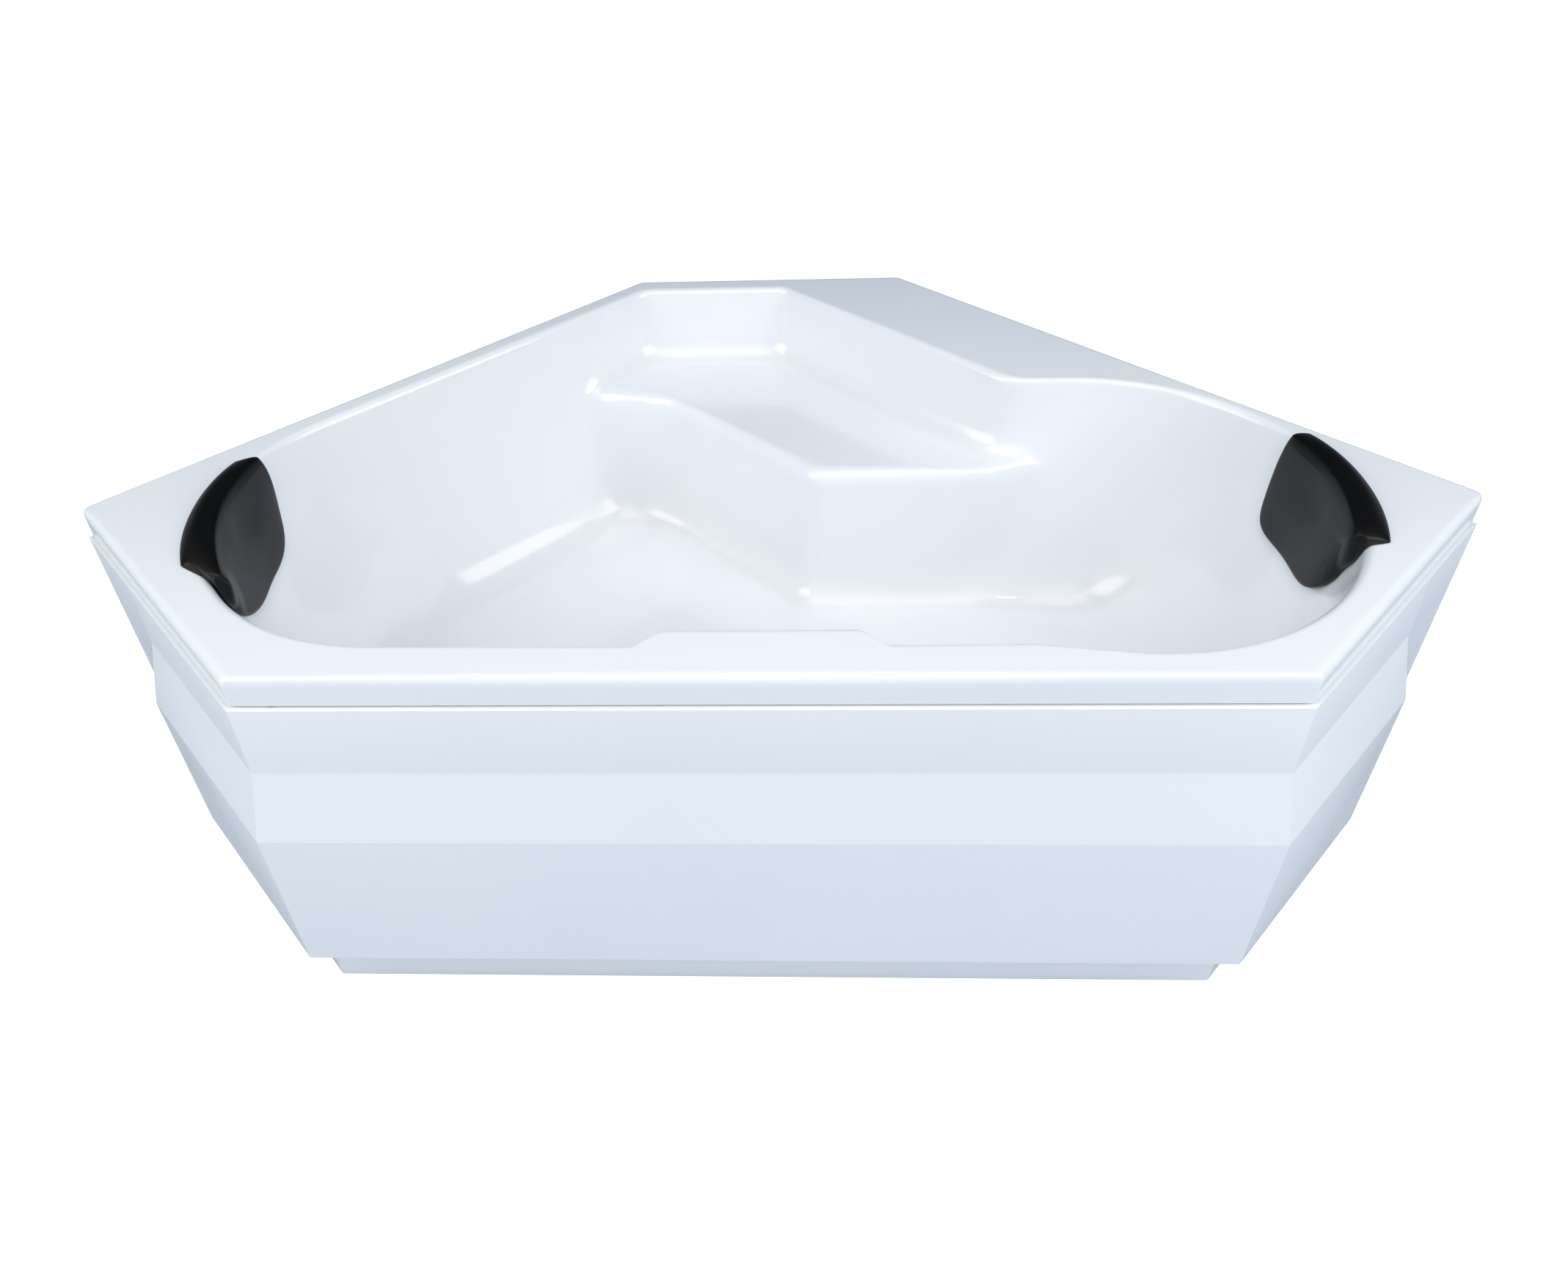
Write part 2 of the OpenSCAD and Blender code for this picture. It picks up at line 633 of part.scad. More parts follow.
module front_panel() {
    m = len(panel_section);
    left_side = [
        [for (c = panel_section) [chamfer_point(c[0], end_gap), c[2]]],
        [for (c = panel_section) [chamfer_point(c[0], strip_w), c[2]]],
        [for (c = panel_section) [chamfer_point(c[1], strip_w + facet_w), c[2]]],
        [for (c = panel_section) [front_corner(c[1]), c[2]]]
    ];
    right_side = [for (s = [3:-1:0]) [for (c = left_side[s]) [flipped(c[0]), c[1]]]];
    stations = concat(left_side, right_side);
    n = len(stations);
    points = [for (s = stations) for (c = s) [c[0][0], c[0][1], c[1]]];
    faces = concat(
        [for (i = [0:n - 2]) for (j = [0:m - 1])
            let (a = i*m + j, b = i*m + wrap(j + 1, m), c = a + m, d = b + m)
                each [[a, d, b], [a, c, d]]],
        [[for (j = [0:m - 1]) j]],
        [[for (j = [m - 1:-1:0]) (n - 1)*m + j]]);
    color("#dfe6f0") difference() {
        polyhedron(points = points, faces = faces, convexity = 8);
        for (k = bracket_posts) at_post(k) translate([0, -screw_in, panel_top - 2*panel_t])
            cylinder(h = 3*panel_t, r = screw_r + 0.5, $fn = 32);
    }
}

// Brackets on the posts that carry the panel's top flange, and their screws
tab_leg = 30;
tab_w = 30;
tab_z = panel_top - panel_t - bracket_t;
screw_in = frame_in - 5;
screw_r = 2;
module at_post(k) {
    p = post_places[k];
    translate([p[0][0], p[0][1], 0]) rotate(p[1]) children();
}
module panel_brackets() color("#9aa2a8") for (k = bracket_posts) at_post(k) {
    difference() {
        translate([-tab_w/2, -frame_in - 2, tab_z]) cube([tab_w, frame_in + 2 - post/2, bracket_t]);
        translate([0, -screw_in, tab_z - 1]) cylinder(h = bracket_t + 2, r = screw_r + 0.05, $fn = 32);
    }
    translate([-tab_w/2, -post/2 - bracket_t, tab_z - tab_leg]) cube([tab_w, bracket_t, tab_leg + 1]);
}
module panel_screws() color("#b9bec4") for (k = bracket_posts) at_post(k) translate([0, -screw_in, 0]) {
    translate([0, 0, panel_top]) cylinder(h = 2.5, r = 4.5, $fn = 32);
    translate([0, 0, tab_z - 6]) cylinder(h = panel_top - tab_z + 7, r = screw_r, $fn = 32);
}

// Levelling feet
nut_h = 10;
stud_top = rail_z + tube_wall + 13;
module hex_nut(h, r) difference() {
    cylinder(h = h, r = r, $fn = 6);
    translate([0, 0, -1]) cylinder(h = h + 2, r = stud_r + stud_clear, $fn = 32);
}
weld_nut_r = 11;
module weld_nuts() color("#b9bec4") for (p = foot_places)
    translate([p[0], p[1], rail_z - nut_h]) hex_nut(nut_h, weld_nut_r);
module lock_nuts() color("#b9bec4") for (p = foot_places)
    translate([p[0], p[1], rail_z - nut_h - 7]) hex_nut(7, weld_nut_r - 1);
module foot_stud(i) color("#b9bec4") translate([foot_places[i][0], foot_places[i][1], pad_h/2]) {
    cylinder(h = stud_top - pad_h/2, r = stud_r, $fn = 32);
    translate([0, 0, pad_h/2]) cylinder(h = 6, r = 10, $fn = 6);
}
module foot_pad(i) color("#3a3d40") translate([foot_places[i][0], foot_places[i][1], 0]) difference() {
    rotate_extrude($fn = 64) polygon([
        [0, 0], [pad_r - 2, 0], [pad_r, 2], [pad_r, pad_h*0.35], [stud_r + 6, pad_h*0.8],
        [stud_r + 5, pad_h], [0, pad_h]]);
    translate([0, 0, pad_h/2]) cylinder(h = pad_h, r = stud_r, $fn = 32);
}

// Head pillows: one section turned round the end of the basin, cut to the pillow's front outline
pillow_clear = 0.4;

// Distance that the basin's wall lies inside its upper edge at a depth below the deck
lean = wall_lean/seat_depth;
bend_depth = seat_depth*4/5;
slope_run = left_slope/6 + wall_lean/5;
slope_fall = seat_depth/5 + (basin_depth - seat_depth)/6;
function wall_in(h) = lean*h + max(0, h - bend_depth + seat_back_r/2)*(slope_run/slope_fall - lean);

// The section, as [distance from the basin's upper edge, height over the deck]
pillow_foot = 11;
pillow_gap = 2;
function behind(share) = [-wall_in(pillow_drop*share) - pillow_gap, -pillow_drop*share];
pillow_section = [
    [pillow_flange, pillow_clear],
    [pillow_flange - 1, 3],
    [pillow_flange/2, pillow_crest*0.6],
    [0, pillow_crest*0.9],
    [-pillow_t*0.6, pillow_crest],
    [-pillow_t, pillow_crest*0.9],
    [-pillow_t - 8, pillow_crest*0.35],
    [-wall_in(pillow_drop*0.5) - pillow_foot - 12, -pillow_drop*0.5],
    [-wall_in(pillow_drop*0.9) - pillow_foot - 2, -pillow_drop*0.92],
    [-wall_in(pillow_drop) - pillow_foot/2, -pillow_drop],
    behind(0.97),
    behind(0.7),
    behind(0.35),
    [-pillow_gap - 1, -lip_r/2],
    [-pillow_gap/4, pillow_clear]
];

// Its outline seen from the basin, with the two lower corners cut
side = left_r*sin(pillow_back);
pillow_outline = concat(
    [for (c = [[1.5, pillow_crest + 1], [1.5, 0], [1.02, -pillow_drop*0.55], [0.8, -pillow_drop*0.88],
               [0.5, -pillow_drop - 1]]) [-side*c[0], c[1]]],
    [for (c = [[0.5, -pillow_drop - 1], [0.85, -pillow_drop*0.88], [1.08, -pillow_drop*0.55], [1.5, 0],
               [1.5, pillow_crest + 1]]) [side*c[0], c[1]]]);
module pillow(centre, radius, aim, front) color("#1d1e21")
    translate([centre[0], centre[1], rim_h]) rotate(aim) mirror([0, front < 0 ? 1 : 0, 0]) intersection() {
        rotate(-pillow_back) rotate_extrude(angle = pillow_back + pillow_half + pillow_wing, $fn = 180)
            polygon([for (c = pillow_section) [radius + c[0], c[1]]]);
        rotate([90, 0, 90]) linear_extrude(2*radius) polygon(pillow_outline);
    }
module pillow_left() pillow(left_centre, left_r, left_aim, 1);
module pillow_right() pillow(right_centre, right_r, right_aim, -1);

// Push-in plugs under each pillow's flange
module pillow_plug() {
    translate([0, 0, rim_h - shell_t - 6]) cylinder(h = shell_t + 6 + pillow_clear, r = plug_pin_r, $fn = 32);
}
module pillow_plugs_left() color("#2b2c30") pin_places(left_centre, left_r, left_aim) pillow_plug();
module pillow_plugs_right() color("#2b2c30") pin_places(right_centre, right_r, right_aim) pillow_plug();

// Waste: flange with its strainer, plug, seal, gasket and body
flange_r = 35;
flange_t = 3;
throat_r = 24;
throat_wall = 2.5;
throat_z = floor_z - 38;
stem_r = 4;
gasket_t = 3;
body_top = under_z - gasket_t;
body_rim_r = 38;
body_r = 31;
body_wall = 3;
body_z = 142;
module at_drain(z) translate([drain[0], drain[1], z]) children();
module waste_flange() color("#c3c8cd") at_drain(0) {
    rotate_extrude($fn = 96) polygon([
        [throat_r - throat_wall, throat_z], [throat_r, throat_z], [throat_r, floor_z],
        [flange_r, floor_z], [flange_r, floor_z + 1.2], [flange_r - 5, floor_z + flange_t],
        [throat_r, floor_z + flange_t], [throat_r - throat_wall, floor_z + 1]]);
    difference() {
        union() {
            translate([0, 0, throat_z]) cylinder(h = 6, r = 8, $fn = 48);
            for (a = [0, 90]) rotate(a) translate([1 - throat_r, -1.5, throat_z])
                cube([2*throat_r - 2, 3, 6]);
        }
        translate([0, 0, throat_z - 1]) cylinder(h = 8, r = stem_r + stud_clear, $fn = 48);
    }
}
plug_r = 31;
seal_t = 2;
plug_z = floor_z + flange_t + seal_t;
stem_end = 178;
module waste_plug() color("#c3c8cd") at_drain(0) rotate_extrude($fn = 96) polygon([
    [0, stem_end], [stem_r, stem_end], [stem_r, plug_z - 6], [12, plug_z - 4], [14, plug_z],
    [plug_r, plug_z], [plug_r, plug_z + 2], [plug_r - 4, plug_z + 4.5], [plug_r - 14, plug_z + 6.5],
    [0, plug_z + 7.5]]);
module plug_seal() color("#3a3d40") at_drain(0) rotate_extrude($fn = 96) polygon([
    [14, plug_z - seal_t], [plug_r - 3, plug_z - seal_t], [plug_r - 1.5, plug_z], [14, plug_z]]);
module waste_gasket() color("#3a3d40") at_drain(body_top) difference() {
    cylinder(h = gasket_t, r = body_rim_r, $fn = 64);
    translate([0, 0, -1]) cylinder(h = gasket_t + 2, r = throat_r + 1, $fn = 64);
}

// Cable from the overflow knob to the lever
cable_r = 2.5;
cable_x = pipe_r + 12;
cable_low = 172;
cable_bend = 60;
boss_r = 6;
boss_l = 32;
boss_deep = 8;

// Side inlet of the waste body, for the overflow pipe
inlet_z = 166;
inlet_l = 52;
socket_wall = 3;
socket_deep = 16;
lever_arm = 16;
lever_rise = 20;
lever_gap = 0.3;
roller_r = 3.5;
lever_z = stem_end - roller_r - lever_gap + (lever_arm + 1)*sin(lever_rise);
pin_half = 24.5;
outlet_r = trap_r + 3;
module waste_body() color("#f0f0ee") at_drain(0) difference() {
    union() {
        rotate_extrude($fn = 96) polygon([
            [0, body_z + 4], [body_r - 12, body_z + 4], [body_r - 4, body_z + 8],
            [body_r, body_z + 16],
            [body_r, body_top - 6], [body_rim_r, body_top - 6], [body_rim_r, body_top], [0, body_top]]);
        translate([0, 0, inlet_z]) rotate([90, 0, 0])
            cylinder(h = inlet_l, r = pipe_r + socket_wall, $fn = 64);
        translate([0, 0, body_z - 14]) cylinder(h = 26, r = outlet_r, $fn = 64);
        translate([cable_x, 0, cable_low]) rotate([90, 0, 0]) cylinder(h = boss_l, r = boss_r, $fn = 48);
    }
    translate([0, 0, body_z + 14]) cylinder(h = throat_z - body_z - 14 - 2, r = body_r - body_wall, $fn = 64);
    translate([0, 0, throat_z - 3])
        cylinder(h = body_top - throat_z + 4, r = throat_r + stud_clear, $fn = 64);
    translate([0, 0, body_z - 15]) cylinder(h = 40, r = trap_r - 4, $fn = 64);
    translate([cable_x, boss_deep - boss_l, cable_low]) rotate([90, 0, 0])
        cylinder(h = boss_deep + 1, r = cable_r + 0.1, $fn = 32);
    translate([0, 0, inlet_z]) rotate([90, 0, 0]) cylinder(h = inlet_l + 1, r = pipe_r - pipe_wall, $fn = 64);
    translate([0, socket_deep - inlet_l, inlet_z]) rotate([90, 0, 0])
        cylinder(h = socket_deep + 1, r = pipe_r + stud_clear, $fn = 64);
    translate([-pin_half - 0.2, -lever_arm, lever_z]) rotate([0, 90, 0])
        cylinder(h = 2*pin_half + 0.4, r = 2, $fn = 32);
}

// Lever that lifts the plug's stem
module lever_pin() color("#b9bec4") at_drain(lever_z) translate([-pin_half, -lever_arm, 0])
    rotate([0, 90, 0]) cylinder(h = 2*pin_half, r = 2, $fn = 32);
module at_lever() at_drain(lever_z) translate([0, -lever_arm, 0]) rotate([-lever_rise, 0, 0]) children();
module lift_lever() color("#f0f0ee") at_lever() difference() {
    union() {
        rotate([0, 90, 0]) translate([0, 0, -4]) cylinder(h = 8, r = 5, $fn = 48);
        translate([-3, 0, -1.5]) cube([6, lever_arm + 1, 3]);
        translate([0, lever_arm + 1, 0]) rotate([0, 90, 0]) translate([0, 0, -3])
            cylinder(h = 6, r = roller_r, $fn = 32);
    }
    rotate([0, 90, 0]) translate([0, 0, -6]) cylinder(h = 12, r = 2 + stud_clear, $fn = 32);
}

// Trap below the waste, with its outlet towards the back
bend_r = 30;
trap_top = body_z - 16;
trap_low = 96;
outlet_z = 130;
outlet_l = 45;
module pipe_bend(r, from, to, bend = bend_r) rotate([90, 0, 90]) rotate(from)
    rotate_extrude(angle = to - from, $fn = 96) translate([bend, 0]) circle(r = r, $fn = 48);
module trap_form(r, extra) {
    rise = outlet_z - bend_r;
    at_drain(0) {
        translate([0, 0, trap_low]) cylinder(h = trap_top - trap_low + extra, r = r, $fn = 64);
        translate([0, bend_r, trap_low]) pipe_bend(r, 180, 360);
        translate([0, 2*bend_r, trap_low]) cylinder(h = rise - trap_low, r = r, $fn = 64);
        translate([0, 3*bend_r, rise]) pipe_bend(r, 90, 180);
        translate([0, 3*bend_r, outlet_z]) rotate([-90, 0, 0])
            cylinder(h = outlet_l + extra, r = r, $fn = 64);
    }
}
module trap_body() color("#f0f0ee") difference() {
    union() {
        trap_form(trap_r, 0);
        at_drain(trap_top - 8) cylinder(h = 8, r = trap_r + 3, $fn = 64);
    }
    trap_form(trap_r - trap_wall, 1);
}

// Ring nuts
module ring_nut(r_in, r_out, h, ribs) difference() {
    union() {
        cylinder(h = h, r = r_out, $fn = 64);
        for (a = [0:ribs - 1]) rotate(a*360/ribs) translate([r_out - 1, -1.5, 0]) cube([2.5, 3, h]);
    }
    translate([0, 0, -1]) cylinder(h = h + 2, r = r_in, $fn = 64);
}
nut_ribs = 12;
module trap_nut() color("#f0f0ee") at_drain(trap_top - 12)
    ring_nut(outlet_r + 0.1, outlet_r + 4, 22, nut_ribs);
module trap_seal() color("#3a3d40") at_drain(trap_top) difference() {
    cylinder(h = 2, r = outlet_r - 0.5, $fn = 64);
    translate([0, 0, -1]) cylinder(h = 4, r = trap_r - trap_wall, $fn = 64);
}

// Overflow: cover on the basin side, knob, gasket and body behind the wall
cover_r = 36;
cover_t = 4;
knob_r = 31;
knob_gap = 5;
knob_t = 13;
shaft_r = 7;
module overflow_cover() color("#c3c8cd") on_front_wall() {
    rotate_extrude($fn = 96) polygon([
        [drain_r - 3, -wall_thick], [drain_r - 0.5, -wall_thick], [drain_r - 0.5, 0], [cover_r, 0],
        [cover_r, 1.5], [cover_r - 3, cover_t], [drain_r - 1, cover_t], [drain_r - 3, 2]]);
    difference() {
        union() {
            cylinder(h = cover_t, r = shaft_r + 4, $fn = 64);
            for (a = [0:3]) rotate(45 + a*90) translate([shaft_r + 1, -2, 0])
                cube([drain_r - shaft_r - 2, 4, 3]);
        }
        translate([0, 0, -1]) cylinder(h = cover_t + 2, r = shaft_r + stud_clear, $fn = 64);
    }
}
housing_l = 30;
gasket_z = -wall_thick - gasket_t;
housing_z = gasket_z - housing_l;
back_wall = 4;
drum_r = 20;
knob_z = cover_t + knob_gap;
module overflow_knob() color("#c3c8cd") on_front_wall() difference() {
    translate([0, 0, knob_z]) rotate_extrude($fn = 96) polygon([
        [0, 0], [knob_r - 2, 0], [knob_r, 2], [knob_r, knob_t - 4], [knob_r - 4, knob_t], [0, knob_t]]);
    for (a = [0:7]) rotate(a*45) translate([knob_r + 5, 0, knob_z - 1])
        cylinder(h = knob_t + 2, r = 8, $fn = 32);
    translate([0, 0, knob_z - 1]) cylinder(h = 7, r = shaft_r, $fn = 64);
}
shaft_z = housing_z + back_wall + 0.5;
module knob_spindle() color("#b9bec4") on_front_wall() {
    translate([0, 0, shaft_z]) cylinder(h = knob_z + 6 - shaft_z, r = shaft_r, $fn = 64);
    translate([0, 0, housing_z + back_wall + 2]) cylinder(h = 8, r = drum_r, $fn = 64);
    translate([0, 0, housing_z + 2]) cylinder(h = back_wall, r = 3, $fn = 32);
}
module overflow_gasket() color("#3a3d40") on_front_wall() translate([0, 0, gasket_z]) difference() {
    cylinder(h = gasket_t, r = body_rim_r, $fn = 64);
    translate([0, 0, -1]) cylinder(h = gasket_t + 2, r = drain_r + 1, $fn = 64);
}

// Vertical run of the overflow pipe behind the front wall
pipe_d = ledge_d + 8;
pipe_top = overflow_z - body_rim_r;
cable_top = overflow_z - body_rim_r;
module at_pipe(z) translate([0, back_y - pipe_d, z]) children();
module at_cable(z) translate([cable_x, back_y - pipe_d, z]) children();
module overflow_body() color("#f0f0ee") difference() {
    union() {
        on_front_wall() translate([0, 0, housing_z]) cylinder(h = housing_l, r = body_rim_r, $fn = 96);
        at_pipe(pipe_top - socket_deep) cylinder(h = socket_deep + 7, r = pipe_r + socket_wall, $fn = 64);
        at_cable(cable_top - boss_deep) cylinder(h = boss_deep + 16, r = boss_r, $fn = 48);
    }
    on_front_wall() translate([0, 0, housing_z + back_wall])
        cylinder(h = housing_l, r = drain_r + 6, $fn = 96);
    on_front_wall() translate([0, 0, housing_z + 1])
        cylinder(h = back_wall + 1, r = 3 + stud_clear, $fn = 32);
    at_pipe(pipe_top - socket_deep - 1) cylinder(h = socket_deep + 1, r = pipe_r + stud_clear, $fn = 64);
    at_pipe(pipe_top - 1) cylinder(h = 28, r = pipe_r - pipe_wall, $fn = 64);
    at_cable(cable_top - boss_deep - 1) cylinder(h = boss_deep + 1, r = cable_r + 0.1, $fn = 32);
}
inlet_end = drain_d + inlet_l;
module overflow_form(r, extra) {
    at_pipe(inlet_z + bend_r) cylinder(h = pipe_top - inlet_z - bend_r + extra, r = r, $fn = 64);
    at_pipe(inlet_z + bend_r) translate([0, bend_r, 0]) pipe_bend(r, 180, 270);
    at_pipe(inlet_z) translate([0, bend_r, 0]) rotate([-90, 0, 0])
        cylinder(h = pipe_d - bend_r - inlet_end + socket_deep + extra, r = r, $fn = 64);
}
module overflow_pipe() color("#f0f0ee") difference() {
    overflow_form(pipe_r, 0);
    overflow_form(pipe_r - pipe_wall, 1);
}
module pipe_nuts() color("#f0f0ee") {
    at_pipe(pipe_top - socket_deep - 12) ring_nut(pipe_r + 0.1, pipe_r + 6, 12, nut_ribs);
    translate([0, back_y - inlet_end - 12, inlet_z]) rotate([-90, 0, 0])
        ring_nut(pipe_r + 0.1, pipe_r + 6, 12, nut_ribs);
}

// The cable runs down beside the pipe, clipped to it, and ends in a boss on the waste body
module lift_cable() color("#2b2c30") {
    at_cable(cable_low + cable_bend) cylinder(h = cable_top - cable_low - cable_bend, r = cable_r, $fn = 32);
    at_cable(cable_low + cable_bend) translate([0, cable_bend, 0]) pipe_bend(cable_r, 180, 270, cable_bend);
    at_cable(cable_low) translate([0, cable_bend, 0]) rotate([-90, 0, 0])
        cylinder(h = pipe_d - cable_bend - drain_d - boss_l + boss_deep, r = cable_r, $fn = 32);
}
clip_heights = [430, 300];
module cable_clips() color("#2b2c30") for (z = clip_heights) difference() {
    union() {
        at_pipe(z) cylinder(h = 10, r = pipe_r + 2, $fn = 64);
        at_pipe(z) translate([pipe_r, -2, 0]) cube([cable_x - pipe_r, 4, 10]);
        at_cable(z) cylinder(h = 10, r = cable_r + 2, $fn = 32);
    }
    at_pipe(z - 1) cylinder(h = 12, r = pipe_r, $fn = 64);
    at_cable(z - 1) cylinder(h = 12, r = cable_r, $fn = 32);
}

bath_shell();
floor_board();
seat_board();
rim_battens();
front_rail();
right_chamfer_rail();
right_wall_rail();
back_rail();
left_wall_rail();
left_chamfer_rail();
front_cross_rail();
rear_cross_rail();
seat_rail();
frame_posts();
seat_struts();
wall_brackets();
front_panel();
panel_brackets();
panel_screws();
foot_stud(0);  // foot_stud_1
foot_stud(1);  // foot_stud_2
foot_stud(2);  // foot_stud_3
foot_stud(3);  // foot_stud_4
foot_stud(4);  // foot_stud_5
foot_stud(5);  // foot_stud_6
foot_stud(6);  // foot_stud_7
foot_pad(0);  // foot_pad_1
foot_pad(1);  // foot_pad_2
foot_pad(2);  // foot_pad_3
foot_pad(3);  // foot_pad_4
foot_pad(4);  // foot_pad_5
foot_pad(5);  // foot_pad_6
foot_pad(6);  // foot_pad_7
weld_nuts();
lock_nuts();
pillow_left();
pillow_right();
pillow_plugs_left();
pillow_plugs_right();
waste_flange();
waste_plug();
plug_seal();
waste_gasket();
waste_body();
lift_lever();
lever_pin();
trap_body();
trap_seal();
trap_nut();
overflow_cover();
overflow_knob();
knob_spindle();
overflow_gasket();
overflow_body();
overflow_pipe();
pipe_nuts();
lift_cable();
cable_clips();
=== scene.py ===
# %% [markdown]
# # A white corner bathtub with two head pillows
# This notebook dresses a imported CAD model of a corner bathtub. The CAD frame already holds every piece at
# its real size and place: the moulded shell, the folded front panel, the steel frame with its levelling
# feet, the waste with its trap, and the overflow whose knob lifts the plug. Our job is the looks. We model
# the shell, the panel and the pillows again with the smooth surfaces that moulding gives them, and we give
# every piece a finish of its own. Sizes are in millimetres while we draw and in metres once they are meshes.

# %% Tools and the frame
import json
import math

import bpy
from mathutils import Matrix, Vector


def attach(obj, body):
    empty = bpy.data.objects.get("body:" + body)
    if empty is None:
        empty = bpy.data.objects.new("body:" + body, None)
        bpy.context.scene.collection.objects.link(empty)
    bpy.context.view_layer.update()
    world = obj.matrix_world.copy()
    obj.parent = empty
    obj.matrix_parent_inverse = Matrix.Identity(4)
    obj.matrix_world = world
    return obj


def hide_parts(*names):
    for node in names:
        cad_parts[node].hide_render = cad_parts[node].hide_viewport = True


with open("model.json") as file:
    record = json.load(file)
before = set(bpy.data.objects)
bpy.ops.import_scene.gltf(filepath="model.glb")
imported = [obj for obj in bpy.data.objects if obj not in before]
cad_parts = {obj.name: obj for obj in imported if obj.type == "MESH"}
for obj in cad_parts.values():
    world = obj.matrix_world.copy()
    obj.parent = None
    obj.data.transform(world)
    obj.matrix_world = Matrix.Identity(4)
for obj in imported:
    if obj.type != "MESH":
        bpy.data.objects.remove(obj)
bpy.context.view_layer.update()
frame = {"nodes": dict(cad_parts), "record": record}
MM = 0.001

# %% [markdown]
# ## The camera
# The photograph was taken from in front of the tub, above eye level of a seated person, with the camera
# tipped down and turned very slightly. The place and the angles were worked out from the six corners of the
# rim. A small shift puts the tub where the photograph has it.

# %% Camera
PHOTO_W, PHOTO_H = 2137, 1736
FOCAL_PX = 1600
OPTICAL_AXIS_PX = (1003.6, 866.4)
CAMERA_PLACE = (0.0402, -1.6627, 1.6450)
YAW, PITCH, ROLL = -0.0610, 0.7053, -0.0452
SENSOR_W = 36


def camera_axes(yaw, pitch, roll):
    """The camera's right, up and forward directions."""
    forward = Vector((math.sin(yaw) * math.cos(pitch), math.cos(yaw) * math.cos(pitch), -math.sin(pitch)))
    right = Vector((math.cos(yaw), -math.sin(yaw), 0))
    up = right.cross(forward)
    turned_right = right * math.cos(roll) + up * math.sin(roll)
    turned_up = up * math.cos(roll) - right * math.sin(roll)
    return turned_right, turned_up, forward


bpy.ops.object.camera_add(location=CAMERA_PLACE)
camera = bpy.context.object
camera.name = "photo_camera"
side_axis, up_axis, view_axis = camera_axes(YAW, PITCH, ROLL)
turned = Matrix((side_axis, up_axis, -view_axis)).transposed().to_4x4()
camera.matrix_world = Matrix.Translation(CAMERA_PLACE) @ turned
camera.data.sensor_width = SENSOR_W
camera.data.lens = camera.data.sensor_width * FOCAL_PX / PHOTO_W
camera.data.shift_x = (PHOTO_W / 2 - OPTICAL_AXIS_PX[0]) / PHOTO_W
camera.data.shift_y = (OPTICAL_AXIS_PX[1] - PHOTO_H / 2) / PHOTO_W
bpy.context.scene.camera = camera
print("lens", round(camera.data.lens, 2),
      "shift", round(camera.data.shift_x, 4), round(camera.data.shift_y, 4))

# %% [markdown]
# ## Bench helpers
# Most pieces here start as a flat grid or a cylinder that an operator adds, and are then shaped. A grid is
# the handiest start for a lofted sheet: its columns become the stations along the piece and its rows the
# points of the section there. These few helpers select, add, merge and apply, as one does by hand.


# %% Selecting, adding and applying
def select_only(piece):
    bpy.ops.object.select_all(action="DESELECT")
    piece.select_set(True)
    bpy.context.view_layer.objects.active = piece


def in_edit_mode(piece, work):
    """Runs work() in edit mode with nothing selected at first."""
    select_only(piece)
    bpy.ops.object.mode_set(mode="EDIT")
    bpy.ops.mesh.select_all(action="DESELECT")
    work()
    bpy.ops.object.mode_set(mode="OBJECT")


def lofted(name, stations, second_part=None):
    """A grid whose columns are the stations and whose rows are the points of their sections, in mm.

    Faces whose corners all pass second_part(column, row) are marked for a second material.
    """
    columns, rows = len(stations), len(stations[0])
    bpy.ops.object.select_all(action="DESELECT")
    bpy.ops.mesh.primitive_grid_add(x_subdivisions=columns - 1, y_subdivisions=rows - 1, size=2)
    piece = bpy.context.object
    piece.name = piece.data.name = name
    grid_place = {}
    for v in piece.data.vertices:
        i = round((v.co.x + 1) / 2 * (columns - 1))
        j = round((v.co.y + 1) / 2 * (rows - 1))
        v.co = Vector(stations[i][j]) * MM
        grid_place[v.index] = (i, j)
    if second_part:
        for f in piece.data.polygons:
            f.material_index = int(all(second_part(*grid_place[v]) for v in f.vertices))
    return piece


def on_whole_mesh(piece, operator, **settings):
    """Runs one edit-mode operator with everything selected."""
    def work():
        bpy.ops.mesh.select_all(action="SELECT")
        operator(**settings)
    in_edit_mode(piece, work)


def weld(piece, distance=0.02):
    on_whole_mesh(piece, bpy.ops.mesh.remove_doubles, threshold=distance * MM)


def face_outwards(piece):
    on_whole_mesh(piece, bpy.ops.mesh.normals_make_consistent, inside=False)


def flip(piece):
    on_whole_mesh(piece, bpy.ops.mesh.flip_normals)


def modifier(piece, kind, **settings):
    """Adds a modifier with these settings and applies it."""
    select_only(piece)
    bpy.ops.object.modifier_add(type=kind)
    added = piece.modifiers[-1]
    for key, value in settings.items():
        setattr(added, key, value)
    bpy.ops.object.modifier_apply(modifier=added.name)


def smooth(piece, angle):
    """Shades smooth, but keeps edges sharp that turn by more than this angle in degrees."""
    select_only(piece)
    bpy.ops.object.shade_smooth_by_angle(angle=math.radians(angle))


def drop(piece):
    bpy.data.objects.remove(piece)


def ease(x):
    """Goes from 0 to 1 as x does, and starts and ends flat."""
    c = min(1, max(0, x))
    return c * c * (3 - 2 * c)


def told(piece):
    print(piece.name, "faces:", len(piece.data.polygons))


# %% [markdown]
# ## The outlines of the tub in plan
# A tub like this is vacuum formed over a mould, and its shape is easiest to say as outlines at a few
# levels: the rim, the upper edge of the basin, the foot of the upper wall at the level of the seat, the
# same with the seat's edge, and the foot of the walls on the floor. Each outline is a list of corners with
# a radius. We write them from the tub's own sizes, as its mould maker would.

